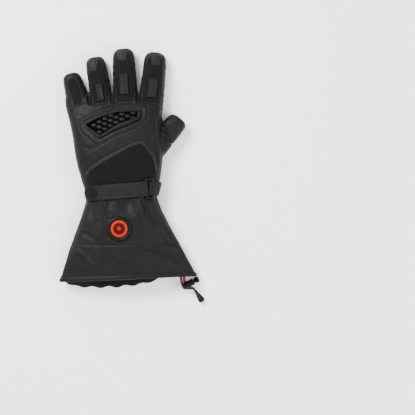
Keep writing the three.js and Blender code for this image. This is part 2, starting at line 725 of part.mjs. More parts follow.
// The button's bezel and lens stand on the gauntlet's back, cut to its curve
function addButton() {
  const share = 0.4
  const [x, y] = [-WRIST_OFFSET * (1 - share) - 5.5, WRIST_Y - CUFF_LENGTH * share]
  const top = Math.max(...cuffRing(share, 0).map((point) => point.z))
  const turned = (profile) => {
    const outline = profile.map(([radius, height]) => new THREE.Vector2(radius, height))
    const geometry = new THREE.LatheGeometry(outline, 18).rotateX(Math.PI / 2)
    return toSolid(geometry.translate(x, y, top)).subtract(skin(GAP))
  }
  const [outer, inner, lens] = [BEZEL_DIAMETER / 2, LENS_DIAMETER / 2 + GAP, LENS_DIAMETER / 2]
  const deep = -10
  place('button_bezel', turned([
    [inner, deep], [outer, deep], [outer, BEZEL_HEIGHT * 0.55], [outer - 1.6, BEZEL_HEIGHT],
    [inner + 1, BEZEL_HEIGHT], [inner, BEZEL_HEIGHT - 0.8], [inner, deep]
  ]), PLASTIC)
  place('button_lens', turned([
    [0, deep], [lens, deep], [lens, LENS_HEIGHT * 0.7], [lens * 0.7, LENS_HEIGHT * 0.93], [0, LENS_HEIGHT]
  ]), LENS)
}

// A group whose own +X runs along an axis turned about Z and then dipped
function axisGroup(at, turn, tilt) {
  const group = new THREE.Group()
  group.position.set(...at)
  group.rotation.set(0, tilt * DEG, turn * DEG, 'ZYX')
  glove.add(group)
  return group
}

// A turned solid along +X over a profile of [place along, radius] points
function turnedAlong(profile, sides) {
  const outline = profile.map(([along, radius]) => new THREE.Vector2(radius, along))
  return new THREE.LatheGeometry(outline, sides).rotateZ(-Math.PI / 2)
}

function addLock() {
  const group = axisGroup(LOCK_PLACE, LOCK_TURN, LOCK_TILT)
  const [radius, bore] = [LOCK_DIAMETER / 2, LOCK_BORE / 2]
  const mouth = 5
  const base = mouth - LOCK_LENGTH
  const floor = mouth - LOCK_BORE_DEPTH
  const barrel = toSolid(turnedAlong([
    [base, 0], [base, radius - 1], [base + 1, radius], [mouth - 0.6, radius], [mouth, radius - 0.6],
    [mouth, bore], [floor, bore], [floor, 0]
  ], 12))
  const hole = new THREE.CylinderGeometry(CORD_DIAMETER / 2 + GAP, CORD_DIAMETER / 2 + GAP, radius, 12)
  hole.translate(base + LOCK_HOLE.from, 1.5 * radius - LOCK_HOLE.deep, 0)
  place('cord_lock', barrel.subtract(toSolid(hole)), PLASTIC, group)
  const shaft = PLUNGER_DIAMETER / 2
  const cap = mouth + PLUNGER_TRAVEL + GAP
  const end = cap + PLUNGER_CAP_LENGTH
  const capRadius = PLUNGER_CAP_DIAMETER / 2
  place('cord_plunger', turnedAlong([
    [floor + PLUNGER_TRAVEL + GAP, 0], [floor + PLUNGER_TRAVEL + GAP, shaft], [cap, shaft],
    [cap, capRadius], [end - 1, capRadius], [end, capRadius - 1.2], [end, 0]
  ], 12), PLASTIC, group)
}

function addCords() {
  const circle = new THREE.Shape(Array.from({ length: 8 }, (_, k) => new THREE.Vector2(
    CORD_DIAMETER / 2 * Math.cos(Math.PI * k / 4),
    CORD_DIAMETER / 2 * Math.sin(Math.PI * k / 4)
  )))
  for (const [name, route] of [['cord_left', CORD_LEFT_ROUTE], ['cord_right', CORD_RIGHT_ROUTE]]) {
    const path = new THREE.CatmullRomCurve3(route.map((point) => new THREE.Vector3(...point)))
    const steps = Math.ceil(path.getLength() / (1.2 * CORD_DIAMETER))
    place(name, new THREE.ExtrudeGeometry(circle, { steps, extrudePath: path }), CORD)
  }
  const group = axisGroup(CORD_END_PLACE, CORD_END_TURN, CORD_END_TILT)
  const [length, neck, radius] = [CORD_END_LENGTH, CORD_END_NECK / 2, CORD_END_DIAMETER / 2]
  place('cord_end', turnedAlong([
    [0, 0], [0, neck * 0.8], [length * 0.1, neck], [length * 0.35, mix(neck, radius, 0.4)],
    [length * 0.7, radius * 0.95], [length * 0.85, radius], [length * 0.96, radius * 0.7],
    [length, radius * 0.3], [length, 0]
  ], 8), PLASTIC, group)
}

addHandAndFingers()
addFingerPieces()
addGuard()
addWristPanel()
addGauntlet()
addStrap()
addButton()
addLock()
addCords()

export default glove
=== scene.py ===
import math

import bpy
import numpy as np
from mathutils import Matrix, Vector


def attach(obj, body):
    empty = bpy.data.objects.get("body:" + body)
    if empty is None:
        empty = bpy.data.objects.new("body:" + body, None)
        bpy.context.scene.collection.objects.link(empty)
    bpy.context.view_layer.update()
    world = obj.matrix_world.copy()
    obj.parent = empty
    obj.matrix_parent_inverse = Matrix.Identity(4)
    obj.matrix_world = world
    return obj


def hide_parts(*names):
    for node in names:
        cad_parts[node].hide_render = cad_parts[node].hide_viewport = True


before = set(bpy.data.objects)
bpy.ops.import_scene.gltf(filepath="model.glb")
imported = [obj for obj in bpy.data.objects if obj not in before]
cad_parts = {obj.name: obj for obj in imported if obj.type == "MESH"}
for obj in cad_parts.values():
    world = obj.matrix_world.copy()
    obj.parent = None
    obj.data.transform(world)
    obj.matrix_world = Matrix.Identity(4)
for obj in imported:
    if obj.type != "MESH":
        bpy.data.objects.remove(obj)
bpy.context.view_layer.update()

# Sizes in millimetres, as in the CAD model
HAND_LENGTH, HAND_WIDTH, HAND_HEIGHT, HAND_LEAN = 137, 135, 46, 12
WRIST_WIDTH, WRIST_HEIGHT, WRIST_OFFSET = 98, 38, 9.7
FINGER_WIDTH, FINGER_HEIGHT = 33, 27
THUMB_LENGTH, THUMB_WIDTH, THUMB_HEIGHT = 59.5, 31, 29
CUFF_LENGTH, CUFF_WIDTH, CUFF_HEIGHT = 118, 191, 38
PALM_OVERHANG, HEM_WIDTH, WALL = 11, 8, 3
WRIST_Y, KNUCKLE_X, KNUCKLE_Y = -38.25, -WRIST_OFFSET - HAND_LEAN * 0.8, 79.75
MIDDLE, FLATTENED, GAP, TAPER_FROM = 0.42, 3, 0.3, 0.42
FINGER_SQUARE, OVER_PANEL, OFF_FLOOR = 0.82, 1.6, 0.02
PAD_LENGTH, PAD_WIDTH = 27, 25
GUARD_LENGTH, GUARD_WIDTH, GUARD_CORNER = 80, 41, (-0.3726, 0.563)
CELL_LENGTH, CELL_WIDTH, CELL_PITCH, CELL_SPACING, CELL_CLIMB = 8.3, 5.2, 7.25, 7.75, 0.13
STRAP_LENGTH, STRAP_WIDTH, STRAP_SLANT, BADGE_AT, BADGE_RADIUS = 90, 21, 4.6, 80, 9
BUTTON_SHARE, BUTTON_BESIDE = 0.4, 5.5
STITCH_PITCH, STITCH_LENGTH, THREAD_RADIUS = 3.2, 2.2, 0.28
DEG = math.pi / 180

# along, widen, lean, rise, lower, top, square
HAND_ROWS = [
    (0, 0, 0, 0, 0, 1, 0.8), (0.08, 0.17, 0.02, 0.15, 0, 1, 0.8), (0.21, 0.42, 0.12, 0.55, 0, 1, 0.78),
    (0.37, 0.64, 0.22, 0.9, 0, 1, 0.76), (0.58, 0.76, 0.4, 1, 0.02, 1, 0.76),
    (0.72, 0.85, 0.56, 1, 0.15, 1, 0.74), (0.86, 0.95, 0.85, 1, 0.48, 1, 0.7), (0.95, 1, 1, 1, 0.78, 1, 0.7),
    (1, 0.96, 1, 1, 1, 1, 0.7), (1.045, 0.9, 1, 1, 1, 0.45, 0.7),
]
# along, wide, high
FINGER_ROWS = [
    (-0.1, 0.98, 1.1), (0.2, 1.02, 1.08), (0.45, 1, 1), (0.68, 0.97, 0.95), (0.83, 0.94, 0.91),
    (0.92, 0.85, 0.83), (0.975, 0.66, 0.68), (1, 0.38, 0.44),
]
# along, widen, high, square
CUFF_ROWS = [
    (0, 0, 1, 0.8), (0.06, 0.02, 1, 0.82), (0.14, 0.09, 1.03, 0.88), (0.26, 0.21, 1.07, 0.95),
    (0.42, 0.39, 1.08, 1.02), (0.6, 0.6, 1.06, 1.1), (0.78, 0.79, 1.03, 1.16), (0.9, 0.92, 1.01, 1.2),
    (1, 1, 1, 1.22),
]
# at, spread, depth, from, to
CUFF_FOLDS = [
    (48, 6, -0.7, 0.02, 0.4), (62, 7, 0.9, 0.02, 0.36), (84, 8, -0.8, 0, 0.26), (112, 8, 0.6, 0, 0.24),
    (136, 7, -0.7, 0, 0.3), (30, 7, -0.6, 0.5, 0.95), (150, 9, 0.5, 0.3, 0.9),
]
# across, along, wide
TRIM_LINE = [
    (-0.352, 0.197, 0.95), (-0.323, 0.246, 1), (-0.199, 0.332, 1.05), (-0.054, 0.411, 1.05),
    (0.092, 0.491, 1), (0.2, 0.528, 0.9), (0.232, 0.52, 0.85), (0.277, 0.47, 0.7), (0.332, 0.397, 0.65),
    (0.357, 0.325, 0.65), (0.366, 0.24, 0.65),
]
# along and across the guard, from its lower left corner
GUARD_OUTER = [
    (0, 0.544), (0.28, 0.803), (0.53, 0.956), (0.765, 1), (1, 0.985), (0.991, 0.74), (0.921, 0.621),
    (0.765, 0.468), (0.53, 0.286), (0.311, 0.044), (0.249, 0), (0.03, 0.364),
]
GUARD_INNER = [
    (0.045, 0.5), (0.296, 0.74), (0.57, 0.9), (0.921, 0.932), (0.914, 0.74), (0.609, 0.544), (0.454, 0.347),
    (0.289, 0.136), (0.194, 0.26), (0.061, 0.425),
]
# The drawcord's strands in metres
LEFT_STRAND = [
    (0.074, -0.1532, 0.0253), (0.074, -0.1549, 0.0248), (0.074, -0.1561, 0.0231), (0.074, -0.1568, 0.0206),
    (0.074, -0.1574, 0.017), (0.0741, -0.1584, 0.0128), (0.0744, -0.1601, 0.009), (0.075, -0.1627, 0.0056),
    (0.0765, -0.1659, 0.0033), (0.0788, -0.1685, 0.0022), (0.0817, -0.1699, 0.00205),
    (0.0846, -0.1703, 0.00205), (0.0874, -0.1699, 0.00205), (0.0896, -0.17, 0.00205),
    (0.0913, -0.1707, 0.0021), (0.09285, -0.1722, 0.00215),
]
RIGHT_STRAND = [
    (0.0782, -0.1531, 0.0248), (0.0782, -0.1548, 0.0243), (0.0782, -0.156, 0.0226), (0.0782, -0.1566, 0.0202),
    (0.0782, -0.1571, 0.017), (0.07835, -0.1578, 0.014), (0.0787, -0.1588, 0.0119),
    (0.0793, -0.1601, 0.01075), (0.0799, -0.1611, 0.0104), (0.08134, -0.16378, 0.01035),
]
CORD_DIAMETER = 0.0038
# Where the cord's lock and end stand in millimetres, and their turn and tilt in degrees
LOCK_PLACE = (87, -162.3, 8.5), 27.5, 18
END_PLACE = (93.2, -172.7, 2.2), -55.5, -9


def set_camera():
    data = bpy.data.cameras.new("camera")
    data.lens, data.sensor_width = 120, 36
    camera = bpy.data.objects.new("camera", data)
    camera.location = (0.111, -0.056, 1.957)
    bpy.context.collection.objects.link(camera)
    bpy.context.scene.camera = camera


def set_lights():
    world = bpy.data.worlds.new("studio")
    world.use_nodes = True
    fill(world.node_tree, world.node_tree.nodes["Background"], Color=(1, 1, 1, 1), Strength=1.2)
    bpy.context.scene.world = world
    for name, place, size, power in (
        ("key", (-0.75, 0.85, 1.3), 0.7, 70), ("fill", (1.1, -0.3, 1.1), 0.8, 20),
        ("front", (-0.1, -1.2, 0.8), 0.8, 14),
    ):
        data = bpy.data.lights.new(name, "AREA")
        data.size, data.energy = size, power
        light = bpy.data.objects.new(name, data)
        light.location = place
        light.rotation_euler = (-Vector(place)).to_track_quat("-Z", "Y").to_euler()
        bpy.context.collection.objects.link(light)


# Materials
LOOKS = {}


def material(name, dark, light, roughness, look=None):
    """A material that varies between two colours."""
    made = bpy.data.materials.new(name)
    made.use_nodes = True
    shader = made.node_tree.nodes["Principled BSDF"]
    fill(made.node_tree, shader, Base_Color=(*(np.add(dark, light) / 2), 1), Roughness=roughness)
    if look:
        look(made.node_tree, shader, dark, light)
    return made


def fill(tree, made, **values):
    """Sets a node's inputs and settings, and links each input that is given a socket."""
    for key, value in values.items():
        name = key.replace("_", " ")
        if isinstance(value, bpy.types.NodeSocket):
            tree.links.new(value, made.inputs[name])
        elif name in made.inputs:
            made.inputs[name].default_value = value
        else:
            setattr(made, key, value)
    return made


def node(tree, kind, **values):
    return fill(tree, tree.nodes.new("ShaderNode" + kind), **values)


def combine(tree, operation, *sockets):
    made = node(tree, "Math", operation=operation)
    for socket, place in zip(sockets, made.inputs):
        tree.links.new(socket, place)
    return made.outputs[0]


def grey(level):
    """A grey that leans a little to blue, as black leather does."""
    return level, level, 1.05 * level


def mottle(tree, shader, dark, light, scale):
    """Varies the colour, and gives the object's space for the other textures."""
    space = node(tree, "TexCoord").outputs["Object"]
    noise = node(tree, "TexNoise", Vector=space, Scale=scale, Detail=4.0)
    ramp = node(tree, "Mix", data_type="RGBA", Factor=noise.outputs["Fac"])
    a, b = [s for s in ramp.inputs if s.type == "RGBA"]
    a.default_value, b.default_value = (*dark, 1), (*light, 1)
    fill(tree, shader, Base_Color=next(s for s in ramp.outputs if s.type == "RGBA"))
    return space


def bump(tree, shader, height, distance):
    made = node(tree, "Bump", Strength=1.0, Distance=distance, Height=height)
    fill(tree, shader, Normal=made.outputs["Normal"])


def leather():
    def look(tree, shader, dark, light):
        space = mottle(tree, shader, dark, light, 55)
        grain = node(tree, "TexVoronoi", Vector=space, Scale=620, feature="SMOOTH_F1")
        fine = node(tree, "TexNoise", Vector=space, Scale=380, Detail=3.0)
        bump(tree, shader, combine(tree, "ADD", grain.outputs["Distance"], fine.outputs["Fac"]), 0.00022)
        fill(tree, shader, Specular_IOR_Level=0.085)
    return look


def weave(pitch, depth=0.00025, sheen=0.02, shine=0.08):
    def look(tree, shader, dark, light):
        space = mottle(tree, shader, dark, light, 90)
        scale = 2 * math.pi / (20 * pitch)
        waves = [node(tree, "TexWave", Vector=space, Scale=scale, bands_direction=axis) for axis in "XY"]
        bump(tree, shader, combine(tree, "MULTIPLY", *(wave.outputs["Fac"] for wave in waves)), depth)
        fill(tree, shader, Sheen_Weight=sheen, Specular_IOR_Level=shine)
    return look


def moulded():
    def look(tree, shader, dark, light):
        space = mottle(tree, shader, dark, light, 70)
        fine = node(tree, "TexNoise", Vector=space, Scale=900, Detail=2.0)
        bump(tree, shader, fine.outputs["Fac"], 0.00008)
        fill(tree, shader, Specular_IOR_Level=0.085)
    return look


def glow(centre):
    """Light in rings round a centre."""
    def look(tree, shader, dark, light):
        place = node(tree, "NewGeometry").outputs["Position"]
        away = node(tree, "VectorMath", operation="DISTANCE", Vector=place)
        away.inputs[1].default_value = [value * 0.001 for value in centre]
        far = node(tree, "Math", operation="DIVIDE", Value=away.outputs["Value"])
        far.inputs[1].default_value = 0.0122
        ramp = node(tree, "ValToRGB", Fac=far.outputs[0])
        stops = [
            (0, 0.9), (0.16, 0.7), (0.27, 0.16), (0.58, 0.12), (0.7, 0.6), (0.8, 1.0), (0.9, 0.85), (1, 0.25),
        ]
        for position, _ in stops[1:-1]:
            ramp.color_ramp.elements.new(position)
        for element, (position, level) in zip(ramp.color_ramp.elements, stops):
            element.position = position
            element.color = (0.27 * level, 0.019 * level ** 1.4, 0.006 * level ** 2, 1)
        colour = ramp.outputs["Color"]
        fill(tree, shader, Base_Color=colour, Emission_Color=colour, Emission_Strength=0.4)
        fill(tree, shader, Specular_IOR_Level=0.06)
    return look


# Numbers for shapes
def dense(table, steps=8):
    rows = np.array(table, float)
    ends = np.vstack([2 * rows[0] - rows[1], rows, 2 * rows[-1] - rows[-2]])
    made = []
    for i in range(len(rows) - 1):
        a, b, c, d = ends[i:i + 4]
        for t in np.arange(steps) / steps:
            square, cube = 2 * a - 5 * b + 4 * c - d, 3 * b - a - 3 * c + d
            made.append((2 * b + (c - a) * t + square * t ** 2 + cube * t ** 3) / 2)
    return np.array(made + [rows[-1]])


def around(count):
    return np.linspace(0, 2 * math.pi, count, endpoint=False)


def smooth(low, high, value):
    t = np.clip((value - low) / (high - low), 0, 1)
    return t * t * (3 - 2 * t)


def power(value, exponent):
    return np.sign(value) * np.abs(value) ** exponent


def noise(points, size, seed=0):
    q = np.asarray(points, float) / size + 200.0
    cell = np.floor(q).astype(np.int64)
    f = q - cell
    f = f * f * (3 - 2 * f)
    total = np.zeros(len(q))
    for corner in range(8):
        offset = np.array([corner & 1, corner >> 1 & 1, corner >> 2 & 1])
        c = cell + offset
        h = (c[:, 0] * 73856093) ^ (c[:, 1] * 19349663) ^ (c[:, 2] * 83492791) ^ (seed * 2654435)
        h = ((h & 0xFFFFFF) * 1103515245 + 12345) >> 9 & 0xFFFF
        weight = np.prod(np.where(offset == 1, f, 1 - f), axis=1)
        total += weight * (h / 32767.5 - 1)
    return total


def resample(line, step, closed=False):
    points = np.array(line, float)
    if closed:
        points = np.vstack([points, points[:1]])
    lengths = np.r_[0, np.cumsum(np.linalg.norm(np.diff(points, axis=0), axis=1))]
    count = max(2, int(round(lengths[-1] / step)) + 1)
    at = np.linspace(0, lengths[-1], count)
    made = np.stack([np.interp(at, lengths, points[:, k]) for k in range(points.shape[1])], axis=1)
    return made[:-1] if closed else made


def rounded(line, step=1.0, closed=True, passes=3):
    points = resample(line, step, closed)
    for _ in range(passes):
        if closed:
            points = (np.roll(points, 1, 0) + 2 * points + np.roll(points, -1, 0)) / 4
        else:
            points[1:-1] = (points[:-2] + 2 * points[1:-1] + points[2:]) / 4
    return points


def nearest_on(points, line):
    """The nearest place on a line for each point, and how far away it is."""
    points, line = np.asarray(points, float), np.asarray(line, float)
    if len(line) == 1:
        return np.repeat(line, len(points), 0), np.linalg.norm(points - line[0], axis=1)
    best, place = np.full(len(points), 1e9), np.zeros_like(points)
    for a, b in zip(line[:-1], line[1:]):
        along = b - a
        t = np.clip((points - a) @ along / max(along @ along, 1e-9), 0, 1)
        near = a + t[:, None] * along
        away = np.linalg.norm(points - near, axis=1)
        better = away < best
        best[better], place[better] = away[better], near[better]
    return place, best


def away_from(points, line, closed=False):
    line = np.array(line, float)
    return nearest_on(points, np.vstack([line, line[:1]]) if closed else line)[1]


def ridge(points, line, height, width, beside=0, closed=False):
    """A rounded ridge along a line or beside it, or a groove where its height is negative."""
    return height * np.exp(-((away_from(points, line, closed) - beside) / width) ** 2)


def curve(line, step=2, move=(0, 0)):
    """An open line, rounded and moved."""
    return rounded(np.array(line) + move, step, False)


def ripple(flat, size, seed):
    return noise(np.c_[flat, np.zeros(len(flat))], size, seed)


def turning(outline):
    """More than 0 where a closed outline runs anticlockwise."""
    after = np.roll(outline, -1, 0)
    return np.sum(outline[:, 0] * after[:, 1] - after[:, 0] * outline[:, 1])


def is_inside(points, outline):
    x, y = points[:, 0], points[:, 1]
    inside = np.zeros(len(points), bool)
    for (ax, ay), (bx, by) in zip(outline, np.roll(outline, -1, 0)):
        if ay != by:
            inside ^= ((ay > y) != (by > y)) & (x < ax + (y - ay) / (by - ay) * (bx - ax))
    return inside


def offset(outline, distance):
    """A closed outline moved in by a distance, or out where it is negative."""
    points = np.array(outline, float)

    def normal(step):
        unit = step / np.maximum(np.linalg.norm(step, axis=1), 1e-9)[:, None]
        return np.stack([-unit[:, 1], unit[:, 0]], axis=1) * np.sign(turning(points))

    a, b = normal(points - np.roll(points, 1, 0)), normal(np.roll(points, -1, 0) - points)
    return points + (a + b) * (distance / np.maximum(1 + np.sum(a * b, axis=1), 0.3))[:, None]


# The glove's own surfaces
def hand_table():
    rows = dense(HAND_ROWS)
    along, widen, lean, rise, lower, top, square = rows.T
    full = WRIST_HEIGHT + (HAND_HEIGHT - WRIST_HEIGHT) * rise
    height = full + (FINGER_HEIGHT - full) * lower
    return {
        "y": WRIST_Y + HAND_LENGTH * along,
        "x": -WRIST_OFFSET - HAND_LEAN * lean,
        "width": WRIST_WIDTH + (HAND_WIDTH - WRIST_WIDTH) * widen,
        "up": height * (1 - MIDDLE) * top,
        "down": height * MIDDLE + FLATTENED,
        "middle": height * MIDDLE,
        "square": square,
    }


HAND = hand_table()
FINGER = dense(FINGER_ROWS)
CUFF = dense(CUFF_ROWS)


def on_hand(across, along):
    return np.array([-WRIST_OFFSET + HAND_WIDTH * across, WRIST_Y + HAND_LENGTH * along])


def digit(name, root, splay, length, width, height, taper=0):
    forward = np.array([math.sin(splay * DEG), math.cos(splay * DEG)])
    right = np.array([forward[1], -forward[0]])
    return {
        "name": name, "root": np.array(root, float), "forward": forward, "right": right, "length": length,
        "width": width, "height": height, "taper": taper,
    }


FINGERS = [
    digit(name, (KNUCKLE_X + HAND_WIDTH * across, KNUCKLE_Y), splay, length, FINGER_WIDTH * wide,
          FINGER_HEIGHT, taper)
    for name, across, splay, length, wide, taper in (
        ("little", -0.352, -15.5, 55, 0.97, 0.3), ("ring", -0.1185, -9, 76.5, 0.93, 0),
        ("middle", 0.119, -2.6, 87.5, 1.02, 0), ("index", 0.372, 5.2, 82.5, 1.02, 0),
    )
]
THUMB = digit("thumb", on_hand(0.33, 0.45), 39, THUMB_LENGTH, THUMB_WIDTH, THUMB_HEIGHT)


def at_row(table, key, y):
    return np.interp(y, table["y"], table[key])


def hand_ring(y, grow, angle, end=0.0):
    x, width, up, down, middle, square = (
        at_row(HAND, key, y) for key in ("x", "width", "up", "down", "middle", "square")
    )
    u = power(np.cos(angle), square) * (width / 2 + grow)
    v = power(np.sin(angle), square) * (np.where(np.sin(angle) > 0, up, down) + grow)
    z = np.maximum(middle + v, np.maximum(0, -np.asarray(grow)))
    return np.stack(np.broadcast_arrays(x + u, y + end, z), axis=-1)


def digit_row(d, along):
    wide, high = (np.interp(along, FINGER[:, 0], FINGER[:, k]) for k in (1, 2))
    return wide * (1 - d["taper"] * np.maximum(0, along - TAPER_FROM)), high


def digit_ring(d, along, grow, angle):
    wide, high = digit_row(d, along)
    middle = d["height"] * MIDDLE
    reach = d["length"] * along + grow * np.maximum(0, 3 * along - 2)
    u = power(np.cos(angle), FINGER_SQUARE) * (d["width"] * wide / 2 + grow)
    lift = np.where(np.sin(angle) > 0, d["height"] * (1 - MIDDLE) * high, (middle + FLATTENED) * high)
    z = middle + power(np.sin(angle), FINGER_SQUARE) * (lift + grow)
    x, y = (d["root"][k] + d["forward"][k] * reach + d["right"][k] * u for k in (0, 1))
    return np.stack(np.broadcast_arrays(x, y, np.maximum(z, np.maximum(0, -np.asarray(grow)))), axis=-1)


def overhang(across, degrees):
    under = np.clip(-3 * np.sin(degrees * DEG), 0, 1)
    t = (across + 0.46) / 0.68
    inside = (t > 0) & (t < 1)
    t = np.clip(t, 0, 1)
    wave = 1.4 * np.cos(2 * math.pi * 5.5 * t)
    return np.where(inside, under * np.sin(math.pi * t) ** 0.4 * (PALM_OVERHANG + wave), 0)


def cuff_row(share):
    """The gauntlet's width, height and squareness at a share of its length."""
    widen, high, square = (np.interp(share, CUFF[:, 0], CUFF[:, k]) for k in (1, 2, 3))
    height = (WRIST_HEIGHT + (CUFF_HEIGHT - WRIST_HEIGHT) * share) * high
    return WRIST_WIDTH + (CUFF_WIDTH - WRIST_WIDTH) * widen, height, square


def folded(z, degrees, share):
    """Heights on the gauntlet with its folds added."""
    for at, spread, depth, start, end in CUFF_FOLDS:
        along = (share - start) / (end - start)
        inside = (along > 0) & (along < 1)
        swell = np.where(inside, depth * WALL * np.sin(math.pi * np.clip(along, 0, 1)), 0)
        z = z + swell * np.exp(-((degrees - at) / spread) ** 2)
    return z


def cuff_point(degrees, share, grow):
    width, height, square = cuff_row(share)
    cos, sin = np.cos(degrees * DEG), np.sin(degrees * DEG)
    u = power(cos, square) * (width / 2 + grow)
    v = power(sin, square) * (np.where(sin > 0, height * (1 - MIDDLE), height * MIDDLE + FLATTENED) + grow)
    z = folded(np.maximum(height * MIDDLE + v, np.maximum(0, -np.asarray(grow))), degrees, share)
    across = power(cos, square) / 2
    slant = 0.02 * (across + 0.5) - 0.028 * np.maximum(0, 0.35 - across)
    y = WRIST_Y - CUFF_LENGTH * share + (slant * width - overhang(across, degrees)) * share ** 3
    return np.stack(np.broadcast_arrays(-WRIST_OFFSET * (1 - share) + u, y, z), axis=-1)


def crown(across, half, up, middle, square, grow):
    u = np.clip(np.abs(across) / (half + grow), 0, 1)
    return middle + (up + grow) * (1 - u ** (2 / square)) ** (square / 2)


def top_height(points, grow):
    """How high the glove's back stands at each [x, y] place, grown by an offset."""
    x, y = points[:, 0], points[:, 1]
    grow = np.broadcast_to(grow, x.shape)
    keys = "x", "width", "up", "middle", "square"
    centre, width, up, middle, square = (at_row(HAND, key, y) for key in keys)
    z = np.where(y >= WRIST_Y, crown(x - centre, width / 2, up, middle, square, grow), 0)
    for d in [*FINGERS, THUMB]:
        rel = points - d["root"]
        along, across = rel @ d["forward"] / d["length"], rel @ d["right"]
        wide, high = digit_row(d, along)
        here = crown(across, d["width"] * wide / 2, d["height"] * (1 - MIDDLE) * high, d["height"] * MIDDLE,
                     FINGER_SQUARE, grow)
        z = np.where((along > -0.1) & (along < 1), np.maximum(z, here), z)
    share = (WRIST_Y - y) / CUFF_LENGTH
    width, height, square = cuff_row(share)
    across = x + WRIST_OFFSET * (1 - share)
    here = crown(across, width / 2, height * (1 - MIDDLE), height * MIDDLE, square, grow)
    angle = np.degrees(np.arccos(np.clip(power(np.clip(across / (width / 2), -1, 1), 1 / square), -1, 1)))
    return np.where(y < WRIST_Y, folded(here, angle, share), z)


def drape(points, grow):
    points = np.asarray(points, float)
    return np.c_[points, top_height(points, grow)]


# Meshes
def build(name, points, faces, look=None, body="glove"):
    mesh = bpy.data.meshes.new(name)
    mesh.from_pydata((np.asarray(points, float) * 0.001).tolist(), [], [list(map(int, f)) for f in faces])
    mesh.validate()
    mesh.update()
    mesh.polygons.foreach_set("use_smooth", [True] * len(mesh.polygons))
    made = bpy.data.objects.new(name, mesh)
    bpy.context.collection.objects.link(made)
    if look:
        mesh.materials.append(LOOKS[look])
    if body:
        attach(made, body)
    return made


def claim(made, slot, *nodes):
    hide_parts(*nodes)


def grid_faces(rows, columns, closed=True, flip=False):
    faces = []
    for r in range(rows - 1):
        for c in range(columns if closed else columns - 1):
            d = (c + 1) % columns
            quad = [r * columns + c, r * columns + d, (r + 1) * columns + d, (r + 1) * columns + c]
            faces.append(quad[::-1] if flip else quad)
    return faces


def sheet(rings, closed=True, flip=False):
    """Points and faces of an open surface over rings or rows of points."""
    return np.vstack(rings), grid_faces(len(rings), len(rings[0]), closed, flip)


def capped(rings, flip=False):
    """Points and faces of a closed surface over rings of points."""
    rows, columns = len(rings), len(rings[0])
    points = [p for ring in rings for p in ring]
    faces = grid_faces(rows, columns, True, flip)
    for first, ring in ((0, rings[0]), ((rows - 1) * columns, rings[-1])):
        centre = len(points)
        points.append(np.mean(ring, axis=0))
        for c in range(columns):
            a, b = first + c, first + (c + 1) % columns
            faces.append([centre, b, a] if (first == 0) != flip else [centre, a, b])
    return points, faces


def joined(*parts):
    points, faces = [], []
    for some, more in parts:
        faces += [[index + len(points) for index in face] for face in more]
        points += list(some)
    return points, faces


def patch(name, outline, spine, height, look, edge, rows, step=1.0, base=GAP, sink=0.5, relief=None,
          passes=3):
    """A piece that lies on the glove's back inside an outline, rounded at its edge."""
    rim = rounded(outline, step, True, passes)
    centre, reach = nearest_on(rim, np.array(spine, float))
    points = [drape(rim, base - sink)]
    for t in np.linspace(0, 1, rows) ** 1.6:
        flat = rim + (centre - rim) * t
        depth = np.clip(reach * t / edge, 0, 1)
        lift = base + height * np.sqrt(1 - (1 - depth) ** 2)
        points.append(drape(flat, lift + (relief(flat, reach * t) if relief else 0)))
    return build(name, *sheet(points, True, turning(rim) < 0), look)


def ribbon(name, outer, inner, height, look, base=GAP, sink=0.5, fullness=0.45, relief=None):
    """A raised band on the glove's back between two closed outlines."""
    out = rounded(outer, 1.0, True, 2)
    near, _ = nearest_on(out, np.vstack([inner, inner[:1]]))
    points = [drape(out, base - sink)]
    for t in np.linspace(0, 1, 9):
        lift = base + height * np.maximum(np.sin(math.pi * t), 0) ** fullness
        points.append(drape(out + (near - out) * t, lift + (relief(t) if relief else 0)))
    points.append(drape(near, base - sink))
    return build(name, *sheet(points, True, turning(out) < 0), look)


def sides_along(path):
    """Two directions across a path at each of its points, without twist."""
    tangent = np.gradient(path, axis=0)
    tangent /= np.linalg.norm(tangent, axis=1)[:, None]
    side = np.cross(tangent[0], [0, 0, 1])
    sides = []
    for t in tangent:
        side = side - t * (side @ t)
        side = side / np.linalg.norm(side)
        sides.append(side)
    return sides, np.cross(tangent, sides)


def tube_points(path, radius, sides, swell):
    angle = around(sides)
    rings = []
    for i, (p, a, b) in enumerate(zip(path, *sides_along(path))):
        r = radius * swell(i, angle)
        rings.append(p + (r * np.cos(angle))[:, None] * a + (r * np.sin(angle))[:, None] * b)
    return capped(rings)


def stitches(name, lines, look):
    """Thread dashes along lines of points in space."""
    step, parts = 0.5, []
    swell = (0.4, 0.9, 1, 0.9, 0.4)
    for line in lines:
        at = resample(line, step)
        total = step * (len(at) - 1)
        for start in np.arange(STITCH_PITCH / 2, total - STITCH_LENGTH, STITCH_PITCH):
            a, b = at[int(start / step)], at[min(len(at) - 1, int((start + STITCH_LENGTH) / step))]
            path = np.array([a + (b - a) * t for t in (0, 0.15, 0.5, 0.85, 1)])
            path[[0, -1], 2] -= 0.35
            parts.append(tube_points(path, THREAD_RADIUS, 5, lambda k, angle: np.full(5, swell[k])))
    return build(name, *joined(*parts), look)


def turned(profile, sides=48, ribs=None):
    """Points and faces round +X from [place along, radius] points."""
    angle = around(sides)
    rings = []
    for along, radius in profile:
        r = radius + (ribs(along, angle) if ribs else 0)
        rings.append(np.stack([np.full(sides, along), r * np.cos(angle), r * np.sin(angle)], axis=1))
    return capped(rings)


def placed(shape, at, turn, tilt):
    """Points turned about Z and dipped, as the CAD model's groups are."""
    c, s = math.cos(tilt * DEG), math.sin(tilt * DEG)
    dip = np.array([[c, 0, s], [0, 1, 0], [-s, 0, c]])
    c, s = math.cos(turn * DEG), math.sin(turn * DEG)
    spin = np.array([[c, -s, 0], [s, c, 0], [0, 0, 1]])
    return np.array(shape[0]) @ (spin @ dip).T + np.array(at), shape[1]


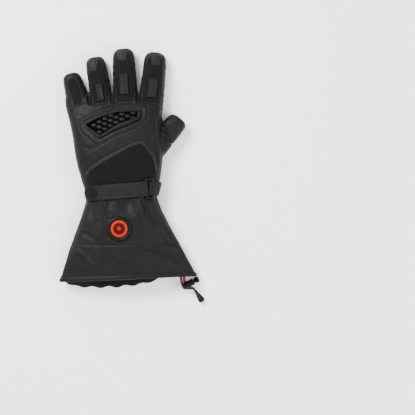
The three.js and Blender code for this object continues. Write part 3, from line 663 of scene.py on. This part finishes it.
def on_digit(d, across, along):
    return d["root"] + d["forward"] * d["length"] * along + d["right"] * d["width"] / 2 * across


def finger(name):
    return next(d for d in FINGERS if d["name"] == name)


def guard_outlines():
    size = [GUARD_LENGTH, GUARD_WIDTH]
    return [on_hand(*GUARD_CORNER) + np.array(table) * size for table in (GUARD_OUTER, GUARD_INNER)]


# The leather hand
def mesh_arrays(mesh):
    points = np.empty(len(mesh.vertices) * 3)
    mesh.vertices.foreach_get("co", points)
    normals = np.empty(len(mesh.vertices) * 3)
    mesh.vertex_normals.foreach_get("vector", normals)
    edges = np.empty(len(mesh.edges) * 2, dtype=np.int32)
    mesh.edges.foreach_get("vertices", edges)
    return points.reshape(-1, 3), normals.reshape(-1, 3), edges.reshape(-1, 2)


def relax(mesh, passes, middle=None, reach=None):
    """Smooths a mesh without shrinking it, or melts it round a middle if one is given."""
    points, _, edges = mesh_arrays(mesh)
    share, back = np.ones(len(points)), -0.5
    if middle is not None:
        share, back = np.exp(-np.sum(((points[:, :2] - middle) / reach) ** 2, axis=1)), 0.5
    count = np.bincount(edges.ravel(), minlength=len(points)).astype(float)
    for step in range(passes):
        total = np.zeros_like(points)
        for k in range(3):
            total[:, k] = (np.bincount(edges[:, 0], points[edges[:, 1], k], len(points)) +
                           np.bincount(edges[:, 1], points[edges[:, 0], k], len(points)))
        points += (total / count[:, None] - points) * ((0.55 if step % 2 == 0 else back) * share)[:, None]
    mesh.vertices.foreach_set("co", points.ravel())
    mesh.update()


def blended_skin(name, grow, voxel, past):
    """The hand, fingers and thumb as one remeshed skin, grown by an offset."""
    rings = [hand_ring(WRIST_Y, grow, around(72), -past)]
    rings += [hand_ring(y, grow, around(72)) for y in HAND["y"][::2] if y > WRIST_Y]
    parts = [capped(rings[:-1] if grow < 0 else rings)]
    for d in [*FINGERS, THUMB]:
        parts.append(capped([digit_ring(d, along, grow, around(48)) for along in FINGER[::2, 0]], True))
    made = build(name, *joined(*parts), None, None)
    modifier = made.modifiers.new("remesh", "REMESH")
    modifier.mode = "VOXEL"
    modifier.voxel_size = voxel * 0.001
    graph = bpy.context.evaluated_depsgraph_get()
    mesh = bpy.data.meshes.new_from_object(made.evaluated_get(graph))
    made.modifiers.clear()
    made.data = mesh
    relax(mesh, 12)
    relax(mesh, 50, (-0.088, 0.098), (0.01, 0.018))
    return made


def hand_relief(p, normal):
    """How far the leather of the hand stands out from its plain shape, in millimetres."""
    flat = p[:, :2]
    back = smooth(0.1, 0.45, normal[:, 2])
    lift = 0.35 * noise(p * [1, 0.45, 1], 9, 1) + 0.18 * noise(p, 3.6, 2)
    outer, _ = guard_outlines()
    welt = ridge(flat, outer, 1.15, 2.0, 4.6, True) + ridge(flat, outer, -0.8, 0.9, 8.2, True)
    lift += back * np.where(is_inside(flat, outer), 0, welt)
    # The slots between the fingers, and the seams where the fingers' backs are set in
    for a, b in zip(FINGERS[:-1], FINGERS[1:]):
        middle = (on_digit(a, 1.02, 0.13) + on_digit(b, -1.02, 0.13)) / 2
        slot = [middle, middle + (a["forward"] + b["forward"]) / 2 * 9]
        lift += back * (ridge(flat, slot, -5.4, 2.1) + ridge(flat, slot, 1.1, 1.0, 4.2))
    for d in FINGERS:
        seam = np.array([on_digit(d, x, 0.15 if d["name"] == "little" else 0.115) for x in (-0.85, 0, 0.85)])
        lift += back * (ridge(flat, seam, -0.9, 0.9) + ridge(flat, seam - d["forward"] * 3, 0.7, 1.6))
    # Side seams with their piping, and the folds at the thumb
    side = [(43.2, 96), (43.4, 80), (41.2, 60), (41.4, 40), (43.2, 22), (44.4, 8), (41, -10)]
    second = [(29, 39), (34, 30.5), (40, 20), (43.5, 6), (42, -8)]
    for seam, move, height, width in (
        (side, (0, 0), 0.9, 1.0), (side, (-2.4, 0), -0.8, 0.8), (second, (0, 0), -0.7, 0.8),
        (second, (-2.2, -0.6), 0.6, 1.2),
    ):
        lift += back * ridge(flat, curve(seam, 2, move), height, width)
    for fold, depth in (
        ([(49, 60), (53, 55), (57, 53)], 2.0), ([(49, 52), (54, 47), (58, 46)], 2.2),
        ([(50, 43), (54, 39), (60, 37)], 1.9), ([(51, 33), (55, 31), (62, 33)], 1.3),
        ([(60, 62), (64, 57), (66, 51)], 0.8),
    ):
        lift += ridge(flat, curve(fold, 1.5), -depth, 1.4)
        lift += ridge(flat, curve(fold, 1.5, (0, 3.2)), 0.6 * depth, 1.5)
    # Gathers above the strap, and soft folds over the palm
    near = smooth(2, -30, p[:, 1])
    lift += near * 0.55 * np.sin(p[:, 0] / 3.4 + 1.5 * noise(p, 14, 5)) * (1 - 0.6 * back)
    under = smooth(-0.15, -0.6, normal[:, 2]) * smooth(0.4, 2.5, p[:, 2])
    lift += under * 0.5 * np.sin((p[:, 0] * 0.5 + p[:, 1]) / 6 + 2 * noise(p, 20, 6))
    sides = 1 - smooth(0.2, 0.6, np.abs(normal[:, 2]))
    lift += sides * smooth(75, 95, p[:, 1]) * 0.16 * np.sin(p[:, 1] / 1.6 + 3 * noise(p, 9, 7))
    for crease in (
        [(-74, 74), (-62, 70), (-56, 64)], [(-68, 30), (-55, 26), (-40, 27)],
        [(-30, 38), (-10, 47), (14, 56)], [(-63, 2), (-58, 16), (-52, 24)], [(24, 70), (32, 66), (38, 58)],
    ):
        lift += back * ridge(flat, curve(crease), -0.55, 2.2)
    return lift


def add_hand():
    skin = blended_skin("hand_leather", 0, 1.2, 6)
    points, normals, _ = mesh_arrays(skin.data)
    points = points * 1000
    tuck = smooth(WRIST_Y + 0.4, WRIST_Y - 0.6, points[:, 1])
    points += normals * (hand_relief(points, normals) * (1 - tuck) - 1.1 * tuck)[:, None]
    points[:, 2] = np.maximum(points[:, 2], OFF_FLOOR)
    finish_skin(skin, points, -4.5, "leather")
    lining = blended_skin("hand_lining", -WALL, 2.4, 26)
    points, normals, _ = mesh_arrays(lining.data)
    points = points * 1000
    points += normals * (0.35 * noise(points, 7, 11))[:, None]
    finish_skin(lining, points, -2.0, "lining")
    lining.data.flip_normals()
    claim(skin, "leather", "hand_shell", "thumb", *(f"finger_{d['name']}" for d in FINGERS))


def finish_skin(made, points, past, look):
    """Opens the skin at the wrist end and gives it its material."""
    keep = points[:, 1] > WRIST_Y + past
    faces = [list(f.vertices) for f in made.data.polygons if all(keep[i] for i in f.vertices)]
    used = np.unique(np.concatenate(faces))
    index = np.full(len(points), -1)
    index[used] = np.arange(len(used))
    clean = bpy.data.meshes.new(made.data.name)
    clean.from_pydata((points[used] * 0.001).tolist(), [], [[int(index[i]) for i in f] for f in faces])
    clean.update()
    clean.polygons.foreach_set("use_smooth", [True] * len(clean.polygons))
    clean.materials.append(LOOKS[look])
    made.data = clean
    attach(made, "glove")


# The gauntlet and its hem
def cuff_relief(points, degrees, share):
    back = np.clip(np.sin(degrees * DEG) * 3, 0, 1)
    flat = points[:, :2]
    lift = 0.4 * noise(points * [1, 0.5, 1], 12, 21) + 0.16 * noise(points, 4, 22)
    lift += np.exp(-share / 0.1) * 1.1 * np.sin(degrees / 4.6 + 1.6 * noise(points, 16, 23))
    seam = [(-33, -40), (-32, -70), (-33, -110), (-35, -150)]
    for line, height, width in (
        ([(9, -44), (13, -58), (12, -72)], 1.5, 2.6), ([(20, -46), (26, -60), (25, -78)], -1.3, 2.4),
        ([(30, -47), (34, -58), (41, -72)], 1.1, 3.0), ([(-36, -46), (-40, -58), (-42, -70)], 0.9, 3.0),
        ([(-24, -46), (-27, -58), (-27, -72)], -1.0, 2.4), ([(22, -112), (40, -117), (58, -124)], -1.2, 2.2),
        ([(25, -103), (44, -109), (62, -112)], 1.0, 3.2), ([(-72, -116), (-62, -122), (-50, -136)], 0.9, 3.5),
        ([(-28, -98), (-10, -102), (12, -100)], -0.8, 2.6),
        ([(-60, -92), (-48, -98), (-40, -112)], -0.8, 3.0), ([(48, -90), (56, -104), (66, -130)], -0.9, 3.0),
        ([(-10, -126), (8, -132), (30, -130)], 0.7, 4.0), (seam, -0.8, 0.9),
        (np.array(seam) - [2.6, 0], 0.5, 1.3),
        ([(-76, -107.5), (-30, -109), (20, -108), (70, -106)], -0.7, 0.9),
    ):
        lift += back * ridge(flat, curve(line, 3), height, width)
    under = np.clip(-np.sin(degrees * DEG) * 3, 0, 1) * smooth(0.35, 1, share)
    lift += under * smooth(0.3, 3, points[:, 2]) * 0.8 * np.sin(degrees / 2.9 + noise(points, 18, 24))
    return lift * smooth(0, 0.02, share)


def cuff_grid(columns, rows, first, last):
    degrees, share = np.meshgrid(np.linspace(0, 360, columns, endpoint=False), np.linspace(first, last, rows))
    return degrees.ravel(), share.ravel()


def add_gauntlet():
    columns, rows = 400, 150
    degrees, share = cuff_grid(columns, rows, 0.0015, 0.9335)
    outer = cuff_point(degrees, share, 0)
    du = cuff_point(degrees + 0.2, share, 0) - cuff_point(degrees - 0.2, share, 0)
    dv = cuff_point(degrees, share + 0.001, 0) - cuff_point(degrees, share - 0.001, 0)
    normal = np.cross(du, dv)
    normal /= np.maximum(np.linalg.norm(normal, axis=1), 1e-9)[:, None]
    normal *= np.sign(np.sum(normal * (outer - [0, 0, 16] - outer * [0, 1, 0]), axis=1))[:, None]
    outer = outer + normal * cuff_relief(outer, degrees, share)[:, None]
    outer[:, 2] = np.maximum(outer[:, 2], OFF_FLOOR)
    made = build("gauntlet_leather", outer, grid_faces(rows, columns, True, True), "leather")
    claim(made, "leather", "gauntlet")
    columns, rows = 200, 60
    degrees, share = cuff_grid(columns, rows, -0.012, 0.985)
    inner = cuff_point(degrees, np.maximum(share, 0), -WALL)
    inner[:, 1] += np.where(share < 0, -CUFF_LENGTH * share, 0)
    inner[:, 2] += 0.3 * noise(inner, 8, 31)
    build("gauntlet_lining", inner, grid_faces(rows, columns), "lining")


def add_hem():
    start, columns = 1 - HEM_WIDTH / CUFF_LENGTH, 480
    degrees = np.linspace(0, 360, columns, endpoint=False)
    back = np.clip(np.sin(degrees * DEG) * 4, 0, 1)
    pucker = np.sin(degrees / 1.45 + 2 * np.sin(degrees / 17)) * (1 - 0.75 * back)
    rings = []
    for t, out in (
        (0, -0.6), (0.02, 0.5), (0.06, 1.0), (0.14, 1.15), (0.2, 0.5), (0.26, 0.35), (0.32, 0.8),
        (0.45, 1.35), (0.6, 1.5), (0.75, 1.4), (0.88, 1.05), (0.96, 0.45), (1.0, -0.6), (1.0, -1.6),
        (0.985, -2.4), (0.94, -3), (0.8, -3.2), (0.4, -3.2), (0, -3.1),
    ):
        fold = pucker * 0.55 * math.sin(math.pi * t) if out > 0 else 0
        ring = cuff_point(degrees, np.full(columns, start + (1 - start) * t), out + fold)
        ring[:, 2] = np.maximum(ring[:, 2], OFF_FLOOR)
        rings.append(ring)
    claim(build("hem_leather", *sheet(rings, True, True), "leather"), "leather", "drawcord_hem")


def add_fingers():
    lines = []
    for d in FINGERS:
        side, reach = [(0.7, 0.14), (0.74, 0.4), (0.7, 0.72), (0.5, 0.9)], (0.28, 0.72)
        if d["name"] == "little":
            side, reach = [(0.42, 0.17), (0.44, 0.5), (0.42, 0.74), (0.2, 0.85)], (0.3, 0.7)
        shape = [(-across, along) for across, along in side] + side[::-1]
        outline, spine = [on_digit(d, *point) for point in shape], [on_digit(d, 0, along) for along in reach]

        def puff(flat, depth, d=d):
            along = (flat - d["root"]) @ d["forward"]
            return 0.22 * np.sin(along / 2.6) * smooth(1, 5, depth) + 0.12 * ripple(flat, 4, 41)

        made = patch(f"back_fabric_{d['name']}", outline, spine, 0.95, "stretch", 1.6, 12, relief=puff)
        claim(made, "stretch", f"back_panel_{d['name']}")
        lines.append(drape(curve([on_digit(d, across * 1.1, along) for across, along in shape], 1.0), 0.25))
    for name, along, long, wide, shift in (
        ("ring", 0.328, 0.92, 0.82, 0), ("middle", 0.42, 1.12, 1.03, -0.05), ("index", 0.375, 1, 1, 0.03),
    ):
        d = finger(name)
        half, reach = PAD_WIDTH / 2 * wide / d["width"], PAD_LENGTH * long / 2 / d["length"]
        corners = (-1, -1), (1, -1), (1, 1), (-1, 1)
        outline = [on_digit(d, shift + x * half, along + y * reach) for x, y in corners]
        spine = [on_digit(d, shift, along - reach * 0.55), on_digit(d, shift, along + reach * 0.55)]

        def face(flat, depth, d=d, shift=shift):
            beside = (flat - d["root"]) @ d["right"] - shift * d["width"]
            middle = -0.22 * np.exp(-(beside / 0.55) ** 2) * smooth(2.5, 4, depth)
            return middle - 0.3 * smooth(1.6, 2.2, depth) + 0.15 * ripple(flat, 5, 43)

        made = patch(f"pad_{name}", outline, spine, 2.5, "rubber", 1.1, 14, 0.6, OVER_PANEL, 0.9, face, 2)
        claim(made, "rubber", f"knuckle_pad_{name}")
    for name, start, shift in (("ring", 0.72, -0.3), ("middle", 0.78, -0.15), ("index", 0.755, 0.12)):
        add_tip_cap(finger(name), start, shift)
    return lines


def add_tip_cap(d, start, shift):
    """A leather cap from the finger's back over its tip."""
    rows, columns = 34, 30
    share = np.linspace(0, 1, columns)
    points = []
    for t in np.linspace(0, 1, rows):
        along = start + (0.985 - start) * t ** 0.85
        here = float(digit_row(d, along)[0])
        wide = min(0.34 + 0.1 * t + 0.16 * smooth(0.4, 0.8, t), 0.86 * here)
        u = np.clip((shift * (1 - t) + np.linspace(-wide, wide, columns)) / here, -0.93, 0.93)
        beside = np.minimum(share, share[::-1]) * wide * d["width"]
        rim = np.minimum(beside, t * (1 - start) * d["length"] * 1.5)
        lift = GAP + 1.35 * np.sqrt(1 - (1 - np.clip(rim / 1.6, 0, 1)) ** 2) - 0.8 * (rim <= 0)
        lift = lift - 0.35 * np.exp(-((rim - 2.6) / 0.5) ** 2)
        blend = smooth(0.6, 1, t)
        angle = np.arccos(power(u, 1 / FINGER_SQUARE))
        points.append(digit_ring(d, np.full(columns, along), lift * (1 - blend) - 0.9 * blend, angle))
    made = build(f"cap_{d['name']}", *sheet(points, False), "light_leather")
    claim(made, "leather", f"tip_cap_{d['name']}")


def add_guard():
    outer, inner = guard_outlines()
    made = ribbon("guard_rim", outer, inner, 3.3, "rubber", fullness=0.4,
                  relief=lambda t: -0.35 * math.exp(-((t - 0.5) / 0.12) ** 2))
    claim(made, "rubber", "guard_frame")
    left, low = on_hand(*GUARD_CORNER)
    inside = offset(inner, 0.5)
    cos, sin = (power(wave(around(24)), 1.1) for wave in (np.cos, np.sin))
    parts = []
    for column in range(10):
        for row in range(-1, 7):
            x = left + 6 + CELL_SPACING * column
            y = low + CELL_PITCH * (row + 0.5 * (column % 2) + CELL_CLIMB * column)
            if not is_inside(np.array([[x, y]]), inside)[0]:
                continue
            rings = []
            for t, lift in (
                (1.06, -0.6), (1.0, 1.1), (0.93, 1.75), (0.8, 2.2), (0.55, 2.45), (0.25, 2.6), (0.02, 2.65),
            ):
                flat = np.c_[x + CELL_LENGTH / 2 * t * cos, y + CELL_WIDTH / 2 * t * sin]
                cut = np.maximum(lift - away_from(flat, inside, True) * 1.2, 0.2)
                rings.append(drape(flat, np.where(is_inside(flat, inside), lift, cut)))
            parts.append(sheet(rings))
    claim(build("guard_cells", *joined(*parts), "grid"), "grid", "guard_grid")
    spine = [inner[[0, 9]].mean(0) + [8, 0], inner.mean(0) + [-4, 0], inner[[3, 4]].mean(0) - [8, 0]]
    plate = patch("guard_bed", offset(inner, -0.6), spine, 0.5, "dark", 0.6, 10, 1.2)


def trim_sides():
    line = curve([on_hand(a, b) for a, b, _ in TRIM_LINE], 1.5)
    share = np.linspace(0, 1, len(line))
    wide = np.interp(share, np.linspace(0, 1, len(TRIM_LINE)), [row[2] for row in TRIM_LINE])
    step = np.gradient(line, axis=0)
    normal = np.stack([-step[:, 1], step[:, 0]], axis=1) / np.linalg.norm(step, axis=1)[:, None]
    half = (2.7 * wide)[:, None]
    return line, line + normal * half, line - normal * half


def strip(name, one, other, height, look, sink=0.6):
    """A raised band on the glove's back between two open lines of the same number of points."""
    points = [drape(one, GAP - sink)]
    taper = np.clip(np.minimum(np.arange(len(one)), np.arange(len(one))[::-1]) / 2.0, 0, 1)
    for t in np.linspace(0, 1, 9):
        lift = GAP + height * max(math.sin(math.pi * t), 0) ** 0.5 * taper
        points.append(drape(one + (other - one) * t, lift))
    points.append(drape(other, GAP - sink))
    return build(name, *sheet(points, False), look)


def add_wrist():
    line, above, below = trim_sides()
    claim(strip("trim_leather", below, above, 1.9, "light_leather"), "leather", "trim_band")
    seam = WRIST_Y + 1
    outline = [*below[::-1], (below[0][0] + 2, seam), (below[-1][0], seam)]

    def folds(flat, depth):
        wave = 0.35 * ripple(flat * [1, 0.5], 11, 51)
        for crease in (
            [(18, 24), (14, 5), (16, -18)], [(-20, 8), (-24, -6), (-30, -20)], [(2, 20), (-2, 2), (2, -18)],
        ):
            wave += ridge(flat, curve(crease, 3), 0.5, 3)
        return wave * smooth(0.5, 4, depth)

    spine = [(-30, -16), (20, -6)]
    made = patch("wrist_fabric", outline, spine, 0.9, "wrist_stretch", 1.6, 26, 1.2, relief=folds, passes=1)
    claim(made, "stretch", "wrist_panel")
    return [drape(line + (edge - line) * 0.62, 1.9) for edge in (above, below)]


def on_strap(s, t):
    """The place s along the strap from its loop and t across it."""
    c, n = math.cos(STRAP_SLANT * DEG), math.sin(STRAP_SLANT * DEG)
    x, y = -WRIST_OFFSET + 0.387 * WRIST_WIDTH, WRIST_Y + 8.3
    s, t = np.asarray(s, float), np.asarray(t, float)
    return np.stack(np.broadcast_arrays(x - c * s - n * t, y - n * s + c * t), axis=-1)


def box_on_strap(start, end, half, corner):
    points = []
    for s, t, first in ((end - corner, half - corner, 0), (start + corner, half - corner, 90),
                        (start + corner, -half + corner, 180), (end - corner, -half + corner, 270)):
        for turn in np.linspace(first, first + 90, 6) * DEG:
            points.append(on_strap(s + corner * math.cos(turn), t + corner * math.sin(turn)))
    return np.array(points)


def add_strap():
    half = STRAP_WIDTH / 2
    end = [(STRAP_LENGTH - half * 0.55 * (1 - math.cos(a)), half * math.sin(a))
           for a in np.linspace(-math.pi / 2, math.pi / 2, 17)]
    outline = [on_strap(0.2, half), on_strap(0.2, -half), *(on_strap(*point) for point in end)]

    def lie(flat, depth):
        way = np.array([math.cos(STRAP_SLANT * DEG), math.sin(STRAP_SLANT * DEG)])
        s = -((flat - on_strap(0, 0)) @ way)
        loop = 2.9 * smooth(9, 5, s) - 1.6 * smooth(1.2, 0, s)
        ribs = 0.1 * np.sin(s * 2 * math.pi / 1.5) * smooth(2.6, 3.2, depth)
        return loop + ribs - 0.3 * np.exp(-((depth - 2.4) / 0.35) ** 2)

    spine = [on_strap(7, 0), on_strap(80, 0)]
    made = patch("strap_webbing", outline, spine, 2.1, "webbing", 0.9, 26, 0.7, OVER_PANEL, 1.2, lie, 1)
    claim(made, "webbing", "wrist_strap")
    outer, inner = box_on_strap(-9, 4.2, 14.7, 2.2), box_on_strap(-4.8, 0, 11.1, 0.8)
    ring = ribbon("strap_loop", outer, inner, 2.5, "plastic", OVER_PANEL, 1.2, 0.5)
    claim(ring, "plastic", "strap_ring")
    rows, columns = 22, 34
    taper = np.where(np.arange(columns) % (columns - 1) == 0, -1.6, 0)
    grid = []
    for k, y in enumerate(np.linspace(-10.2, 10.2, rows) + on_strap(0, 0)[1]):
        edge = min(k, rows - 1 - k)
        grow = OVER_PANEL + 2.0 * min(1, edge / 1.5) - 0.8 * (edge == 0)
        grid.append(hand_ring(np.full(columns, y), grow + taper, np.linspace(47, -28, columns) * DEG))
    claim(build("anchor_webbing", *sheet(grid, False, True), "webbing"), "webbing", "strap_anchor")
    centre = on_strap(BADGE_AT, 0)
    circle = [centre + BADGE_RADIUS * np.array([math.cos(a), math.sin(a)]) for a in around(48)]

    def rim(flat, depth):
        return -0.7 * smooth(1.3, 1.9, depth) + 0.25 * smooth(4, 9, depth)

    badge = patch("badge_disc", circle, [centre], 1.6, "badge", 0.9, 18, 0.7, OVER_PANEL + 2.1, 1.0, rim, 1)
    claim(badge, "plastic", "strap_badge")
    seams = [[on_strap(s, t) for s in (12, 66)] for t in (half - 2.4, -half + 2.4)]
    return [drape(resample(line, 1.0), OVER_PANEL + 1.9) for line in seams]


def button_place():
    ring = cuff_point(np.linspace(0, 360, 44, endpoint=False), np.full(44, BUTTON_SHARE), 0)
    x = -WRIST_OFFSET * (1 - BUTTON_SHARE) - BUTTON_BESIDE
    return np.array([x, WRIST_Y - CUFF_LENGTH * BUTTON_SHARE, ring[:, 2].max()])


def add_button():
    at, angle = button_place(), around(96)
    for name, slot, stands_for, profile in (
        ("button_ring", "plastic", "button_bezel", (
            (17.25, 0), (17.25, 0.6), (17.1, 1.6), (16.6, 2.4), (15.8, 2.95), (14.9, 3.15), (14.2, 3.1),
            (13.7, 2.8), (13.2, 2.9), (12.8, 2.7), (12.5, 2.2), (12.45, 0.2),
        )),
        ("button_light", "lens", "button_lens", (
            (12.2, 0.2), (12.2, 1.6), (11.9, 2.05), (11.2, 2.3), (9.3, 2.5), (8.6, 2.45), (8.2, 2.3),
            (4.2, 2.45), (3.8, 2.6), (2.0, 2.75), (0.02, 2.8),
        )),
    ):
        rings = [np.c_[r * np.cos(angle), r * np.sin(angle), np.full(len(angle), h)] + at for r, h in profile]
        if slot == "plastic":
            rings[0] = drape(rings[0][:, :2], -0.8)
        claim(build(name, *sheet(rings), slot), slot, stands_for)


# The drawcord
def add_strand(name, points, stands_for):
    path = resample(dense(points, 12), 0.0004)

    def braid(i, angle):
        turn = i * 0.84
        return 0.95 + 0.05 * np.sin(4 * angle + turn) * np.sin(4 * angle - turn)

    made = build(name, *tube_points(path * 1000, CORD_DIAMETER * 500, 16, braid), "cord")
    claim(made, "cord", stands_for)
    return made, path


def add_drawcord():
    left, path = add_strand("left_strand", LEFT_STRAND, "cord_left")
    right, _ = add_strand("right_strand", RIGHT_STRAND, "cord_right")
    barrel = [(-13, 0.02), (-13, 3.4), (-12.8, 3.9), (-12.3, 4.45), (-11.4, 4.75), (-10.6, 4.8)]
    for at in (-9.2, -7.6, -1.6, 0, 1.6):
        barrel += [(at - 0.55, 4.8), (at - 0.35, 4.45), (at + 0.35, 4.45), (at + 0.55, 4.8)]
    barrel += [(3.6, 4.8), (4.5, 4.6), (5, 4.1), (5, 3.4), (-3.4, 3.4), (-3.4, 0.02)]
    lock = build("lock_barrel", *placed(turned(barrel), *LOCK_PLACE), "plastic")
    claim(lock, "plastic", "cord_lock")
    knob = [
        (-0.3, 0.02), (-0.3, 3.0), (8.3, 3.0), (8.3, 4.1), (8.5, 4.45), (9.0, 4.6), (12.0, 4.6), (12.6, 4.35),
        (12.95, 3.7), (13, 2.4), (12.8, 0.02),
    ]

    def flutes(along, angle):
        return 0.14 * np.sin(20 * angle) * (9.0 <= along <= 12.1) - 0.1

    plunger = build("lock_knob", *placed(turned(knob, 80, flutes), *LOCK_PLACE), "plastic", "plunger")
    claim(plunger, "plastic", "cord_plunger")
    end = [
        (0, 0.02), (0, 1.6), (0.5, 1.9), (2, 2.0), (4, 2.35), (7, 3.0), (10, 3.65), (13, 4.2), (15.5, 4.55),
        (17, 4.7), (18.3, 4.3), (19.2, 3.4), (19.75, 2.2), (20, 0.02),
    ]

    def ridges(along, angle):
        wave = 0.5 + 0.5 * np.cos(along * math.pi)
        return -0.16 * wave * (5 < along < 15) * (np.abs(np.sin(angle)) < 0.75)

    grip = build("end_grip", *placed(turned(dense(end, 5), 48, ridges), *END_PLACE), "plastic")
    claim(grip, "plastic", "cord_end")


def main():
    set_camera()
    set_lights()
    for name, *row in (
        ("leather", grey(0.0034), grey(0.0076), 0.5, leather()),
        ("light_leather", grey(0.0056), grey(0.0105), 0.48, leather()),
        ("stretch", grey(0.003), grey(0.0056), 0.9, weave(0.0012)),
        ("wrist_stretch", (0.0026, 0.0023, 0.0025), (0.0052, 0.0046, 0.0049), 0.9, weave(0.0012)),
        ("rubber", grey(0.004), grey(0.006), 0.5, moulded()),
        ("grid", grey(0.0045), grey(0.007), 0.45, moulded()),
        ("dark", grey(0.0006), grey(0.0011), 0.9, weave(0.001, 0.0001, 0, 0.02)),
        ("webbing", grey(0.0066), grey(0.0112), 0.8, weave(0.0015)),
        ("plastic", grey(0.0028), grey(0.005), 0.4, moulded()),
        ("badge", (0.0028, 0.0026, 0.0027), (0.005, 0.0045, 0.0046), 0.5, moulded()),
        ("lens", (0.3, 0.03, 0.015), (0.3, 0.03, 0.015), 0.45, glow(button_place() + [0, 0, 2.4])),
        ("cord", (0.07, 0.004, 0.009), (0.12, 0.009, 0.017), 0.75, weave(0.0008, 0.0001)),
        ("thread", grey(0.016), grey(0.016), 0.7),
        ("lining", grey(0.0045), grey(0.008), 0.95, weave(0.002, 0.0005)),
        ("floor", (0.94, 0.94, 0.94), (0.94, 0.94, 0.94), 0.9),
    ):
        LOOKS[name] = material(name, *row)
    add_drawcord()
    add_hand()
    add_gauntlet()
    add_hem()
    lines = add_fingers()
    add_guard()
    lines += add_wrist()
    lines += add_strap()
    add_button()
    stitches("stitching", lines, "thread")
    add_floor()


def add_floor():
    corners = (-6000, -6000), (6000, -6000), (6000, 6000), (-6000, 6000)
    build("floor", [(x, y, -0.1) for x, y in corners], [(0, 1, 2, 3)], "floor", None)


main()
